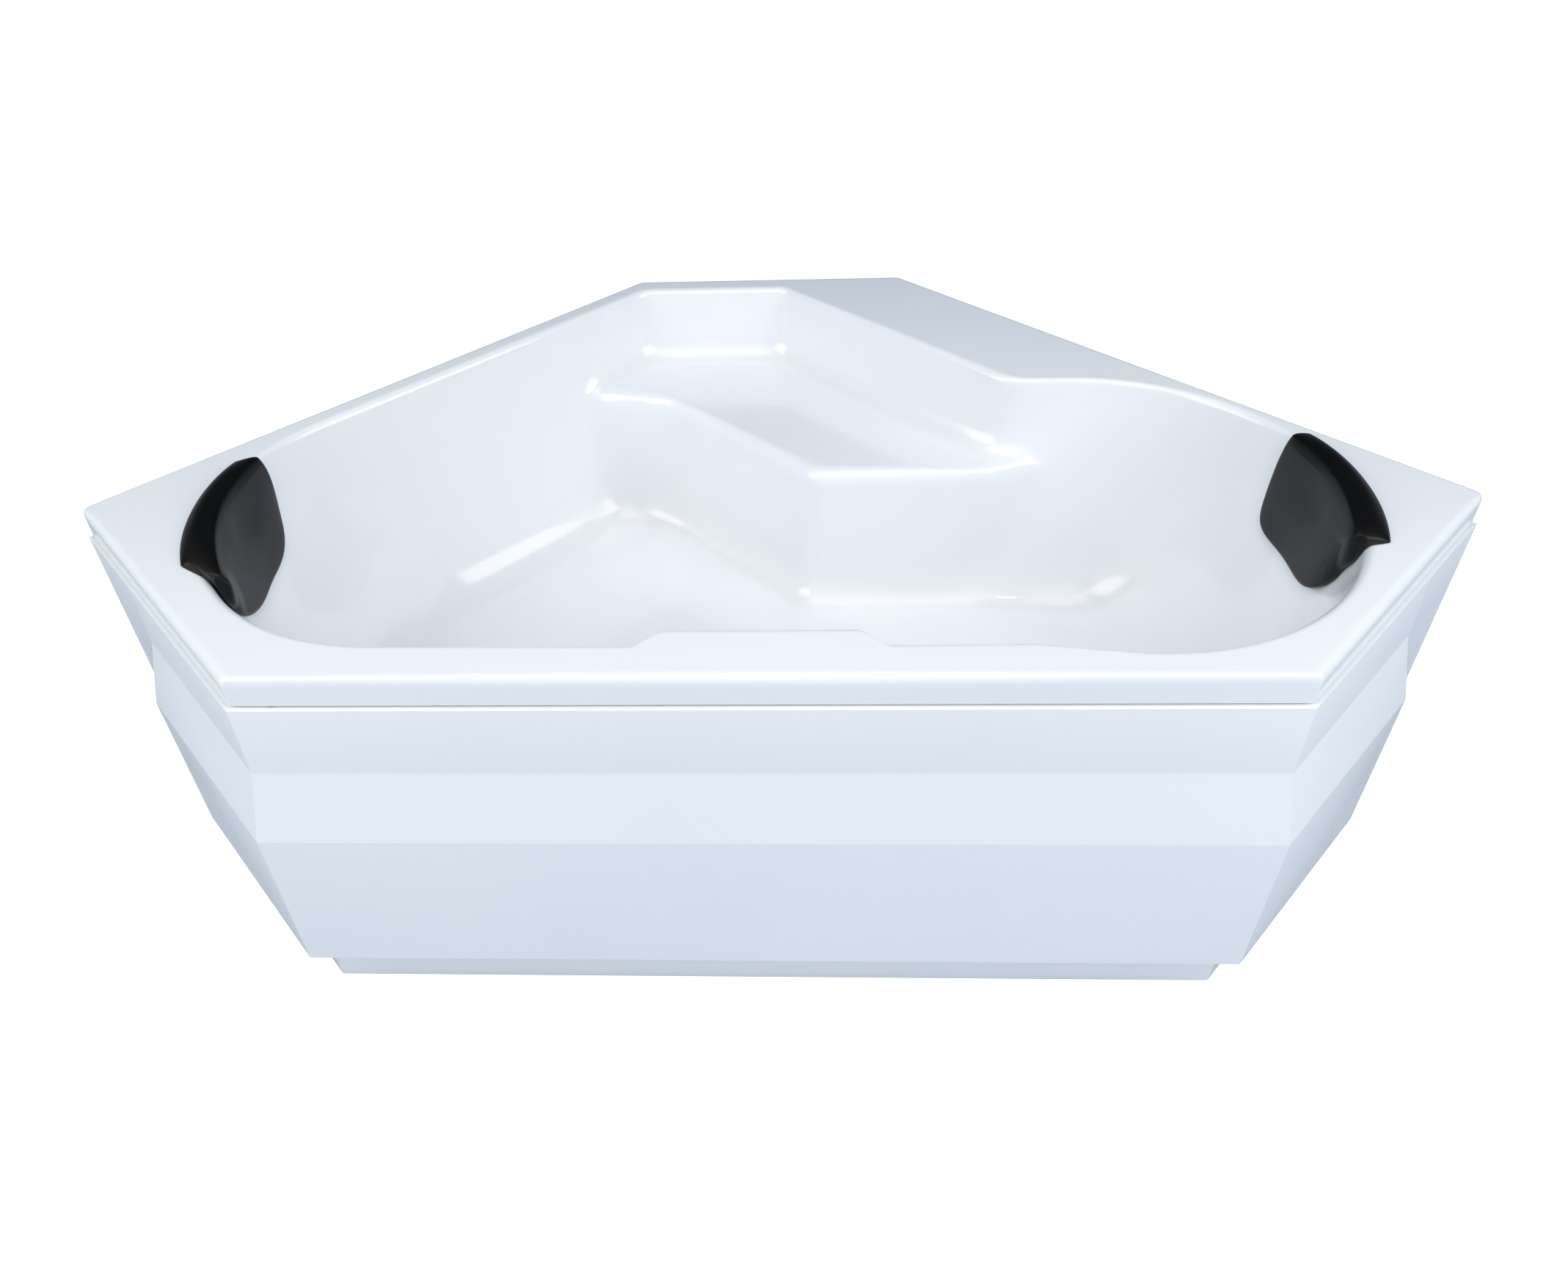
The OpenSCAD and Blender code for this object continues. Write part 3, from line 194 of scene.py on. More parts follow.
# %% Sizes of the tub
WALL_SIDE, BACK_W, FRONT_W, RIM_REACH = 1500, 520, 1388, 1196
RIM_H, APRON_H, CORNER_R, EDGE_R, WALL_EDGE_R, SHELL_T = 650, 46, 12, 15, 8, 8
BASIN_DEPTH, SEAT_DEPTH, WALL_LEAN = 405, 135, 28
LEFT_DECK, BACK_DECK, RIGHT_DECK, FRONT_DECK, LEDGE_DECK = 40, 46, 195, 67, 99
LEDGE_W, LEDGE_STEP, STEP_R = 262, 31, 22
LEFT_REACH, RIGHT_REACH, RIGHT_BACK = 850, 871, 438
LEFT_SLOPE, RIGHT_SLOPE, LIP_R, FOOT_R = 202, 203, 16, 55
SWELL_X, SWELL_FALL = 352, 76
SEAT_FRONT, SEAT_SIDE, SEAT_LEFT, SEAT_LEFT_FALL = 516, 490, 205, 32
SEAT_RIGHT, SEAT_FLARE, SEAT_DRAFT, SEAT_BACK_R, SEAT_FADE = 430, 50, 17, 26, 55
FOOT_LEANS, APEX_CORNER = 3.4, 30
BLOCK_OUT = 40
HALF = math.sqrt(0.5)
HALF_BACK = BACK_W / 2
SIDE_RUN = (WALL_SIDE - BACK_W * HALF) * HALF
BACK_Y = (RIM_REACH + BLOCK_OUT) / 2
SEAT_Z, FLOOR_Z = RIM_H - SEAT_DEPTH, RIM_H - BASIN_DEPTH
FRONT_D, LEDGE_D = RIM_REACH - FRONT_DECK, RIM_REACH - LEDGE_DECK
LEFT_WALL_D = LEFT_REACH + LEFT_DECK / HALF - HALF_BACK
SWELL_TURN = (math.pi / 2 - math.atan(SWELL_FALL / (RIGHT_REACH - SWELL_X))) / 2
LEFT_R = (FRONT_D - LEFT_WALL_D) / (1 + math.tan(math.pi / 8))
RIGHT_R = (FRONT_D + SWELL_FALL - RIGHT_BACK) / (1 + 1 / math.tan(SWELL_TURN))


# %% Plan helpers
def at(x, d):
    """A point in plan, d in front of the back edge."""
    return Vector((x, BACK_Y - d))


def left_x(d, k):
    """The x of a point at depth d that lies k inside the left wall side."""
    return k / HALF - HALF_BACK - d


def right_x(d, k):
    """The x of a point at depth d that lies k inside the right wall side."""
    return d + HALF_BACK - k / HALF


def placed(corners):
    return [(at(x, d), r) for x, d, r in corners]


def left_of(v):
    return Vector((-v.y, v.x))


def inset(outline, k, least=12):
    """Moves every side of an outline inwards by k and keeps its corners round."""
    moved = []
    for i, (b, r) in enumerate(outline):
        a, c = outline[i - 1][0], outline[(i + 1) % len(outline)][0]
        along, on = (b - a).normalized(), (c - b).normalized()
        u, v = left_of(along), left_of(on)
        turn = math.copysign(1, along.cross(on))
        moved.append((b + (u + v) * k / (1 + u.dot(v)), max(r - k * turn, least)))
    return moved


FINE_ARC, COARSE_ARC, LARGE_R = 3, 9, 100


def rounded(outline):
    """The outline as a ring of points, with each corner as an arc, finer in degrees on a large radius."""
    ring = []
    for i, (b, r) in enumerate(outline):
        a, c = outline[i - 1][0], outline[(i + 1) % len(outline)][0]
        u, v = (a - b).normalized(), (c - b).normalized()
        half = math.acos(max(-1, min(1, u.dot(v)))) / 2
        centre = b + (u + v).normalized() * r / math.sin(half)
        start = b + u * r / math.tan(half) - centre
        begin = math.atan2(start.y, start.x)
        sweep = math.copysign(math.pi - 2 * half, (b - a).cross(c - b))
        steps = max(1, math.ceil(abs(math.degrees(sweep)) / (FINE_ARC if r > LARGE_R else COARSE_ARC)))
        for k in range(steps + 1):
            t = begin + sweep * k / steps
            ring.append(centre + Vector((math.cos(t), math.sin(t))) * r)
    return ring


# %% Outlines at the five levels
RIM = placed([
    (-FRONT_W / 2, RIM_REACH, CORNER_R), (FRONT_W / 2, RIM_REACH, CORNER_R),
    (HALF_BACK + SIDE_RUN, SIDE_RUN, CORNER_R), (HALF_BACK, 0, CORNER_R),
    (-HALF_BACK, 0, CORNER_R), (-HALF_BACK - SIDE_RUN, SIDE_RUN, CORNER_R)])
EDGE = placed([
    (-LEFT_REACH, FRONT_D, LEFT_R),
    (-LEDGE_W / 2 - LEDGE_STEP, FRONT_D, STEP_R), (-LEDGE_W / 2, LEDGE_D, STEP_R),
    (LEDGE_W / 2, LEDGE_D, STEP_R), (LEDGE_W / 2 + LEDGE_STEP, FRONT_D, STEP_R),
    (SWELL_X, FRONT_D, 150), (RIGHT_REACH, FRONT_D + SWELL_FALL, RIGHT_R),
    (RIGHT_REACH, RIGHT_BACK, RIGHT_R), (right_x(RIGHT_BACK, RIGHT_DECK), RIGHT_BACK, 85),
    (right_x(BACK_DECK, RIGHT_DECK), BACK_DECK, 28), (left_x(BACK_DECK, LEFT_DECK), BACK_DECK, 40),
    (-LEFT_REACH, LEFT_WALL_D, LEFT_R)])
WALL = inset(EDGE, WALL_LEAN)
SEAT_DIAG = SEAT_LEFT + SEAT_LEFT_FALL
SEAT = WALL[:8] + placed([
    (SEAT_RIGHT + SEAT_FLARE, RIGHT_BACK + WALL_LEAN, 60), (SEAT_RIGHT, SEAT_FRONT, 40),
    (right_x(SEAT_FRONT, SEAT_SIDE), SEAT_FRONT, 28), (right_x(SEAT_DIAG, SEAT_SIDE), SEAT_DIAG, 60),
    (left_x(SEAT_LEFT, LEFT_DECK + WALL_LEAN), SEAT_LEFT, 30)]) + [WALL[11]]
SEAT_FOOT, SIDE_FOOT = SEAT_FRONT + SEAT_DRAFT, SEAT_SIDE + SEAT_DRAFT
FRONT_FOOT = LEDGE_D - WALL_LEAN * BASIN_DEPTH / SEAT_DEPTH
LEFT_FOOT = LEFT_DECK + FOOT_LEANS * WALL_LEAN
LEFT_FLOOR_X = LEFT_REACH - WALL_LEAN - LEFT_SLOPE
RIGHT_FLOOR_X = RIGHT_REACH - WALL_LEAN - RIGHT_SLOPE
APEX_D = SEAT_DIAG + 2 * SEAT_DRAFT
FLOOR = placed([
    (-LEFT_FLOOR_X, FRONT_FOOT, 150), (RIGHT_FLOOR_X, FRONT_FOOT, 170),
    (RIGHT_FLOOR_X, SEAT_FOOT, 100), (right_x(SEAT_FOOT, SIDE_FOOT), SEAT_FOOT, 35),
    (right_x(APEX_D, SIDE_FOOT), APEX_D, 40),
    (left_x(APEX_D - APEX_CORNER, LEFT_FOOT), APEX_D - APEX_CORNER, 40),
    (-LEFT_FLOOR_X, LEFT_FLOOR_X + LEFT_FOOT / HALF - HALF_BACK, 140)])
rim_ring, edge_ring, wall_ring, seat_ring, floor_ring = (rounded(o) for o in (RIM, EDGE, WALL, SEAT, FLOOR))
print("points on the basin's edge:", len(edge_ring))

# %% [markdown]
# ## Sections from a hub above the floor
# Seen from a point over the floor each outline is crossed once, so the whole shell can be drawn as sections
# on rays, like the spokes of a wheel. Along a spoke the section runs down from the apron over the deck,
# round the lip, down the wall to the seat, over the seat's nose and down to the floor, and each corner is a
# soft bend. We place a spoke at every point where an outline turns and fill wide gaps between them. A short
# stretch beside each bend is kept straight, so the flat deck stays flat right up to its rounding.

# %% Spokes
HUB_D = 780
HUB = at(0, HUB_D)
LEAST_TURN, MOST_TURN = 0.3, 1.0
HAIR = 1e-9


def bearing(p):
    return math.degrees(math.atan2(p.y - HUB.y, p.x - HUB.x))


def reach(ring, angle):
    """The distance from the hub to a ring along a spoke."""
    u = Vector((math.cos(math.radians(angle)), math.sin(math.radians(angle))))
    best = 0
    for i, p in enumerate(ring):
        a, b = ring[i - 1] - HUB, p - HUB
        if a.cross(u) >= -HAIR and u.cross(b) > HAIR:
            best = max(best, a.cross(b) / u.cross(b - a))
    return best


def spokes():
    kept = sorted(bearing(p) for p in rim_ring)
    for ring in (edge_ring, seat_ring, wall_ring, floor_ring):
        for p in ring:
            a = bearing(p)
            if min(abs(a - b) for b in kept) >= LEAST_TURN:
                kept.append(a)
    kept.sort()
    filled = []
    for a, b in zip(kept, kept[1:] + [kept[0] + 360]):
        extra = math.ceil((b - a) / MOST_TURN)
        filled += [a + (b - a) * k / extra for k in range(extra)]
    return filled


angles = spokes()
print("spokes:", len(angles))

# %% The section on one spoke
LIP_BEND, SEAT_BEND, NOSE_BEND = 12, 42, 30
BENDS = (EDGE_R, LIP_BEND, SEAT_BEND, NOSE_BEND, FOOT_R)
BEND_STEPS = (6, 8, 8, 8, 14)
STRAIGHT_STEPS = (1, 1, 5, 3, 6, 3)
HOLD, MOST_HOLD, MOST_BEND, TINY = 2.5, 0.2, 0.45, 1e-6
CUT_ABOVE, CUT_BELOW = 5, 6
WALL_SIDE_FADE, FOOT_GROWTH = 0.06, 0.5


def mixed(a, b, t):
    return (a[0] + (b[0] - a[0]) * t, a[1] + (b[1] - a[1]) * t)


def soft_bend(p, c, r, size, steps):
    """Points of a soft bend at c on the way from p to r."""
    a = mixed(c, p, min(size / max(math.dist(c, p), TINY), MOST_BEND))
    b = mixed(c, r, min(size / max(math.dist(c, r), TINY), MOST_BEND))
    return [mixed(mixed(a, c, k / steps), mixed(c, b, k / steps), k / steps) for k in range(steps + 1)]


def straight(a, b, steps):
    """Points between two bends: one held close to each, and the rest spread evenly."""
    near = min(HOLD / max(math.dist(a, b), TINY), MOST_HOLD)
    return [mixed(a, b, near + (1 - 2 * near) * k / steps) for k in range(steps + 1)]


def section(angle):
    """The upper surface on one spoke, as (distance from the hub, height), from the apron to the floor.

    Where there is no seat, the corner at its level is cut off, by one part in CUT_ABOVE of the wall above
    it and one in CUT_BELOW of the wall below it. The rim's edge is tighter along the walls of the room,
    and the bend at the foot grows with the run of the slope above it.
    """
    o, e, w, s, f = (reach(r, angle) for r in (rim_ring, edge_ring, wall_ring, seat_ring, floor_ring))
    soft = 1 - ease((w - s) / SEAT_FADE)
    p = [(o, RIM_H - APRON_H), (o, RIM_H), (e, RIM_H),
         (w + (e - w) * soft / CUT_ABOVE, SEAT_Z + SEAT_DEPTH * soft / CUT_ABOVE),
         (s + (f - s) * soft / CUT_BELOW, SEAT_Z + (FLOOR_Z - SEAT_Z) * soft / CUT_BELOW),
         (f, FLOOR_Z), (0, FLOOR_Z)]
    wall_side = min(1, max(0, 1 + math.sin(math.radians(angle)) / WALL_SIDE_FADE))
    sizes = list(BENDS)
    sizes[0] += (WALL_EDGE_R - EDGE_R) * wall_side
    sizes[4] += FOOT_GROWTH * max(0, p[4][0] - p[5][0])
    line = [p[0]]
    for i, size in enumerate(sizes):
        turn = soft_bend(p[i], p[i + 1], p[i + 2], size, BEND_STEPS[i])
        line += straight(line[-1], turn[0], STRAIGHT_STEPS[i])[0 if i else 1:] + turn
    return line + straight(line[-1], p[6], STRAIGHT_STEPS[5])[:-1] + [p[6]]


sections = [section(a) for a in angles]
print("points on a section:", len(sections[0]))

# %% [markdown]
# ## Corners soften with depth
# Warm acrylic is stretched most at the bottom of the mould, so the corners there are much rounder than at
# the lip. We average each section with its neighbours along the wall. The mean's share grows from nothing
# at the lip to all of it a little lower, and below the seat the mean is taken over a longer stretch.

# %% Averaging along the wall
SPREAD, DEEP_SPREAD, SPREAD_FALL = 42, 90, 60
# The numbers of the points of a section on the lip and low on the upper wall
LIP_POINT, WALL_POINT = 12, 24


def weighed_neighbours(i, spread):
    """The spokes within spread mm of spoke i, measured low on the upper wall, each with its share."""
    window = math.degrees(spread / max(sections[i][WALL_POINT][0], 1))
    count, found = len(angles), []
    for way in (1, -1):
        k = 0 if way == 1 else -1
        while True:
            at_spoke = (i + k) % count
            gap = abs((angles[at_spoke] - angles[i] + 180) % 360 - 180)
            if gap >= window:
                break
            width = (angles[(at_spoke + 1) % count] - angles[at_spoke - 1]) % 360
            found.append((at_spoke, (1 - gap / window) * width))
            k += way
    whole = sum(weight for _, weight in found)
    return [(k, weight / whole) for k, weight in found]


def mean_point(near, j):
    return tuple(sum(sections[k][j][axis] * weight for k, weight in near) for axis in (0, 1))


def softened(i):
    near, wide = weighed_neighbours(i, SPREAD), weighed_neighbours(i, DEEP_SPREAD)
    line = []
    for j, own in enumerate(sections[i]):
        share = ease((RIM_H - LIP_R - own[1]) / SPREAD_FALL) if j > LIP_POINT else 0
        deep = ease((SEAT_Z - own[1]) / (SEAT_Z - FLOOR_Z))
        mean = mixed(mean_point(near, j), mean_point(wide, j), deep) if share else own
        line.append(mixed(own, mean, share))
    return line


def spot(angle, point):
    t = math.radians(angle)
    return (HUB.x + point[0] * math.cos(t), HUB.y + point[0] * math.sin(t), point[1])


around = [[spot(a, p) for p in softened(i)] for i, a in enumerate(angles)]
tub_skin = lofted("tub_skin", around + around[:1])
weld(tub_skin)
face_outwards(tub_skin)
low_face = min(tub_skin.data.polygons, key=lambda f: (f.center.xy - (HUB * MM)).length)
if low_face.normal.z < 0:
    flip(tub_skin)
told(tub_skin)

# %% [markdown]
# ## Thickness and holes
# The acrylic is backed with glass fibre, about eight millimetres in all. Solidify gives the skin that
# thickness inwards. The holes for the waste, the overflow and the pillows' plugs are then cut by cylinders
# with a Boolean.

# %% Thickness of the shell and its holes
modifier(tub_skin, "SOLIDIFY", thickness=SHELL_T * MM, offset=-1, use_even_offset=True,
         use_quality_normals=True)
DRAIN_D, DRAIN_R, OVERFLOW_DEPTH = 900, 26, 88
PLUG_HOLE_R, PLUG_ANGLE, PLUG_OFF = 4.3, 13, 21.6
HOLE_SIDES, CUTTER_LENGTH = 64, 40
LEFT_AIM, RIGHT_AIM = 183.5, 3.5
LEFT_CENTRE = at(LEFT_R - LEFT_REACH, FRONT_D - LEFT_R)
RIGHT_CENTRE = at(RIGHT_REACH - RIGHT_R, RIGHT_BACK + RIGHT_R)
WALL_TILT = math.atan(WALL_LEAN / SEAT_DEPTH)


def hole_cutter(place, radius, tilt=0.0):
    bpy.ops.object.select_all(action="DESELECT")
    bpy.ops.mesh.primitive_cylinder_add(vertices=HOLE_SIDES, radius=radius * MM, depth=CUTTER_LENGTH * MM,
                                        location=Vector(place) * MM, rotation=(tilt, 0, 0))
    return bpy.context.object


drain = at(0, DRAIN_D)
overflow = (0, BACK_Y - LEDGE_D + OVERFLOW_DEPTH * math.sin(WALL_TILT),
            RIM_H - OVERFLOW_DEPTH * math.cos(WALL_TILT))
cutters = [hole_cutter((drain.x, drain.y, FLOOR_Z), DRAIN_R),
           hole_cutter(overflow, DRAIN_R, WALL_TILT - math.pi / 2)]
for centre, radius, aim in ((LEFT_CENTRE, LEFT_R, LEFT_AIM), (RIGHT_CENTRE, RIGHT_R, RIGHT_AIM)):
    for side in (-1, 1):
        t = math.radians(aim + side * PLUG_ANGLE)
        cutters.append(hole_cutter((centre.x + (radius + PLUG_OFF) * math.cos(t),
                                    centre.y + (radius + PLUG_OFF) * math.sin(t), RIM_H), PLUG_HOLE_R))
bpy.ops.object.select_all(action="DESELECT")
for c in cutters:
    c.select_set(True)
bpy.context.view_layer.objects.active = cutters[0]
bpy.ops.object.join()
cutter = bpy.context.object
modifier(tub_skin, "BOOLEAN", operation="DIFFERENCE", solver="EXACT", object=cutter)
drop(cutter)
smooth(tub_skin, angle=40)
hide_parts("bath_shell")
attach(tub_skin, "tub")
told(tub_skin)

# %% [markdown]
# ## The front panel
# The panel is one sheet, folded along the left chamfer, the front and the right chamfer. Its middle stands
# out as a block between two flat end strips: below a flat band the sheet slopes out to a crease, drops
# straight down and returns to a plinth. A narrow facet joins the block to each strip. We loft the sheet
# from eight stations, bevel the folds as the mould rounds them, and let Solidify add the thickness inwards.

# %% Panel stations
APRON_GAP, PANEL_T, PANEL_OUT, PLINTH_OUT, PLINTH_H = 4, 4, 6, 3, 99
FOLD_HIGH, FOLD_LOW, STRIP_W, FACET_W, END_GAP, FLANGE_W, LIP_W = 484, 376, 158, 8, 3, 20, 10
BAND_LEAN, MIDDLE_H = 2, 240
PANEL_TOP = RIM_H - APRON_H - APRON_GAP
PANEL_SECTION = (
    (PANEL_OUT - FLANGE_W, PANEL_OUT - FLANGE_W, PANEL_TOP), (PANEL_OUT, PANEL_OUT, PANEL_TOP),
    (PANEL_OUT, PANEL_OUT + BAND_LEAN, FOLD_HIGH), (PANEL_OUT, BLOCK_OUT, FOLD_LOW),
    (PANEL_OUT, BLOCK_OUT, PLINTH_H), (PLINTH_OUT, PLINTH_OUT, PLINTH_H),
    (PLINTH_OUT, PLINTH_OUT, 0), (PLINTH_OUT - LIP_W, PLINTH_OUT - LIP_W, 0))
wall_normal = Vector((-HALF, HALF))
wall_at = wall_normal.dot(RIM[5][0])
chamfer_dir = (RIM[0][0] - RIM[5][0]).normalized()
chamfer_normal = -left_of(chamfer_dir)
chamfer_at = chamfer_normal.dot(RIM[0][0])
front_normal = Vector((0, -1))


def meet(u, a, v, b):
    """Where the lines u.p = a and v.p = b cross."""
    return Vector((a * v.y - b * u.y, u.x * b - v.x * a)) / u.cross(v)


def chamfer_point(k, w):
    """On the left chamfer, k outside the rim and w from the wall of the room."""
    return meet(chamfer_normal, chamfer_at + k, wall_normal, wall_at - w)


def front_corner(k):
    """The corner of the left chamfer and the front, k outside the rim."""
    return meet(chamfer_normal, chamfer_at + k, front_normal, RIM_REACH - BACK_Y + k)


half_panel = [
    [(*chamfer_point(c[0], END_GAP), c[2]) for c in PANEL_SECTION],
    [(*chamfer_point(c[0], STRIP_W), c[2]) for c in PANEL_SECTION],
    [(*chamfer_point(c[1], STRIP_W + FACET_W), c[2]) for c in PANEL_SECTION],
    [(*front_corner(c[1]), c[2]) for c in PANEL_SECTION]]
other_half = [[(-x, y, z) for x, y, z in station] for station in reversed(half_panel)]
panel_skin = lofted("panel_skin", half_panel + other_half)
weld(panel_skin, 0.05)
front_middle = Vector((0, -BACK_Y, MIDDLE_H)) * MM
front_face = min(panel_skin.data.polygons, key=lambda f: (f.center - front_middle).length)
if front_face.normal.y > 0:
    flip(panel_skin)
told(panel_skin)

# %% Folds, thickness and corners of the panel
FOLD_R, FOLD_STEPS, LEAST_FOLD = 7, 5, 4


def bevel_folds():
    """Rounds every edge where the sheet turns by more than the least fold, in degrees."""
    bpy.ops.mesh.select_mode(type="EDGE")
    bpy.ops.mesh.edges_select_sharp(sharpness=math.radians(LEAST_FOLD))
    bpy.ops.mesh.bevel(offset=FOLD_R * MM, segments=FOLD_STEPS, profile=0.5, clamp_overlap=True)


in_edit_mode(panel_skin, bevel_folds)
modifier(panel_skin, "SOLIDIFY", thickness=PANEL_T * MM, offset=-1, use_even_offset=True)
smooth(panel_skin, angle=30)
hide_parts("front_panel")
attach(panel_skin, "tub")
told(panel_skin)

# %% [markdown]
# ## Head pillows
# Each pillow is moulded in soft polyurethane with a leathery skin, so it keeps its form and needs no cloth
# simulation. The skin is smooth on top and at the ends and matt on the face. Its two colours are partly
# painted light and shade: black on top and at the ends as painted shade for the dark that the glossy skin
# mirrors, and a lighter charcoal on the face as painted light from the white basin. The pillow hugs the
# round
# end: a flange lies on the deck, a crest rises above the lip, and the face drops into the basin in front of
# the wall, wide above and narrow below, with a shallow oval hollow for the head. The end near the front has
# a small wing. We loft the sections round the tub's end, close the pillow's two ends and let Subdivision
# Surface round the rest.

# %% Pillow section
# From the middle to the near and the far end, and what the wing adds, in degrees
PILLOW_FRONT, PILLOW_BACK, PILLOW_WING = 23.5, 21.5, 2.5
# Sizes in the middle, in mm
PILLOW_DROP, PILLOW_CREST, PILLOW_T, PILLOW_FLANGE, PILLOW_DISH = 144, 26, 30, 28.5, 5
PILLOW_CLEAR, FLANGE_T, FACE_BULGE, FOOT_SWELL = 0.5, 3, 7, 7
# Sizes that are left at the ends, in mm, and how far along and how fast the thick part grows
END_CREST, END_DROP, END_T, END_FOOT = 7, 5, 5, 4
THICK_REACH, THICK_GROWTH = 0.97, 3
# The gap to the wall of the basin and what it gains towards the ends, in mm
WALL_GAP, WALL_GAP_GROWTH = 1.2, 2.2
# The hollow's half width, middle and half height, as shares of the face
DISH_W, DISH_MIDDLE, DISH_H = 0.55, 0.3, 0.22
# Points up the crest, over it, down the face and up the back, as shares
CREST_RISE = ((0.8, 0.28), (0.5, 0.56), (0.15, 0.82))
CREST_TOP = ((0.72, 1), (0.93, 0.97), (1, 0.88))
FACE_STEPS = (0.06, 0.16, 0.26, 0.36, 0.46, 0.58, 0.72, 0.85)
BACK_STEPS = (0.93, 0.75, 0.5)


def swell(w, p):
    """From 1 in the middle to 0 at w = 1, and the fuller the larger p is."""
    return max(0, 1 - abs(w) ** p) ** (1 / p)


LEAN = WALL_LEAN / SEAT_DEPTH
SLOPE = ((LEFT_SLOPE / CUT_BELOW + WALL_LEAN / CUT_ABOVE)
         / (SEAT_DEPTH / CUT_ABOVE + (BASIN_DEPTH - SEAT_DEPTH) / CUT_BELOW))
SLOPE_TOP = SEAT_DEPTH * (1 - 1 / CUT_ABOVE)


def wall_in(h):
    """How far the wall stands inside the basin's upper edge at a depth below the deck."""
    return LEAN * h + max(0, h - SLOPE_TOP + SEAT_BACK_R / 2) * (SLOPE - LEAN)


def pillow_section(w, fullness):
    """Points round the section at w, from 0 in the middle to 1 at an end, as (off the edge, height)."""
    body = ease(swell(w / THICK_REACH, 3.2) * THICK_GROWTH)
    crest = END_CREST + (PILLOW_CREST - END_CREST) * swell(w, 2.6)
    low = max(END_DROP, PILLOW_DROP * swell(w / THICK_REACH, fullness))
    t = END_T + (PILLOW_T - END_T) * swell(w, 3) * body
    foot = END_FOOT + FOOT_SWELL * body
    gap = WALL_GAP + WALL_GAP_GROWTH * (1 - swell(w, 2))
    heel = -wall_in(low) - gap

    def face(f):
        straight_down = -t - 2 - f * (wall_in(low) + gap + foot - t - 3.2)
        hollow = PILLOW_DISH * body * ease(1 - (w / DISH_W) ** 2 - ((f - DISH_MIDDLE) / DISH_H) ** 2)
        return straight_down - FACE_BULGE * body * math.sin(math.pi * f ** 0.8) + hollow

    def back(h):
        return (-wall_in(h) - gap, -h)

    points = [(PILLOW_FLANGE, PILLOW_CLEAR), (PILLOW_FLANGE - 0.6, 2.4)]
    points += [(PILLOW_FLANGE * k, FLANGE_T + (crest - FLANGE_T) * h) for k, h in CREST_RISE]
    points += [(-t * 0.35, FLANGE_T + (crest - FLANGE_T) * 0.97)]
    points += [(-t * k, crest * h) for k, h in CREST_TOP]
    points += [(face(f), crest * 0.75 * (1 - f) - low * f) for f in FACE_STEPS]
    points += [(face(0.95) + 0.5, -low * 0.955), (heel + 1.2 - foot * 0.6, -low * 0.995),
               (heel - foot * 0.25, -low * 0.985)]
    points += [back(low * share) for share in BACK_STEPS]
    return points + [(-LIP_R * 0.08 - gap / 2, -LIP_R * 0.3 * min(1, low / 30) - 0.1), (-0.5, PILLOW_CLEAR)]


# %% Lofting the pillows
HALF_STATIONS = (0.08, 0.2, 0.32, 0.44, 0.55, 0.65, 0.74, 0.81, 0.87, 0.91, 0.935, 0.955, 0.966, 0.98, 1)
STATIONS = [-s for s in reversed(HALF_STATIONS)] + list(HALF_STATIONS)
NEAR_FULLNESS = 3.3
# The rows and reach of the face, which gets the lighter colour as painted light; the rest gets the darker
# one as painted shade
FACE_ROWS, FACE_REACH = (9, 17), (-0.96, 0.9)
WING_MOST, WING_CAP, WING_FALL = 1.2, 0.965, 20
SWEEP_START, SWEEP_RUN = 17, 36


def wing_share(p, w):
    """How far a point follows the wing: not at the flange's edge, more inwards, and less below the deck."""
    return min(WING_MOST, 1 - p[0] / PILLOW_FLANGE) * (1 if w > WING_CAP else ease(1 + p[1] / WING_FALL))


def pillow(name, node, body, centre, radius, aim, front, far_fullness, sweeps):
    """A pillow whose two ends sweep on round the tub by (near, far) degrees, more towards the basin.

    The near end is the one at the front of the tub, and front says on which side of the middle it is.
    """
    def point(s, p):
        near = s * front > 0
        spread = PILLOW_FRONT + PILLOW_WING * wing_share(p, abs(s)) if near else PILLOW_BACK
        inward = ease((SWEEP_START - p[0]) / SWEEP_RUN)
        sweep = sweeps[0 if near else 1] * inward * s ** 4
        t = math.radians(aim + s * spread + math.copysign(sweep, s))
        off = radius + p[0]
        return (centre.x + off * math.cos(t), centre.y + off * math.sin(t), RIM_H + p[1])

    rings = []
    for s in STATIONS:
        ring = pillow_section(abs(s), NEAR_FULLNESS if s * front > 0 else far_fullness)
        rings.append([point(s, p) for p in ring + ring[:1]])

    # Marks the faces that get the lighter colour, partly painted light
    def on_face(column, row):
        near = STATIONS[column] * front
        return FACE_ROWS[0] <= row <= FACE_ROWS[1] and FACE_REACH[0] <= near <= FACE_REACH[1]

    cushion = lofted(name, rings, on_face)
    weld(cushion)

    def close_ends():
        bpy.ops.mesh.select_mode(type="EDGE")
        bpy.ops.mesh.select_non_manifold(extend=False)
        bpy.ops.mesh.edge_face_add()

    in_edit_mode(cushion, close_ends)
    face_outwards(cushion)
    modifier(cushion, "SUBSURF", levels=2, render_levels=2)
    smooth(cushion, angle=60)
    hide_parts(node)
    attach(cushion, body)
    told(cushion)
    return cushion


left_cushion = pillow("left_cushion", "pillow_left", "left_pillow", LEFT_CENTRE, LEFT_R, LEFT_AIM,
                      front=1, far_fullness=3.4, sweeps=(12, 2.5))
right_cushion = pillow("right_cushion", "pillow_right", "right_pillow", RIGHT_CENTRE, RIGHT_R, RIGHT_AIM,
                       front=-1, far_fullness=5.5, sweeps=(0, 0))

# %% [markdown]
# ## Node groups for the finishes
# Three effects make up the finishes: a soft drift that keeps a colour from being dead flat, a fine grain
# that breaks up the gloss, and a streak along one direction, as in wood. Each is a node group with its own
# inputs, built once and placed in the materials with their own values. They read Object coordinates, so a
# pattern sits still on its piece.


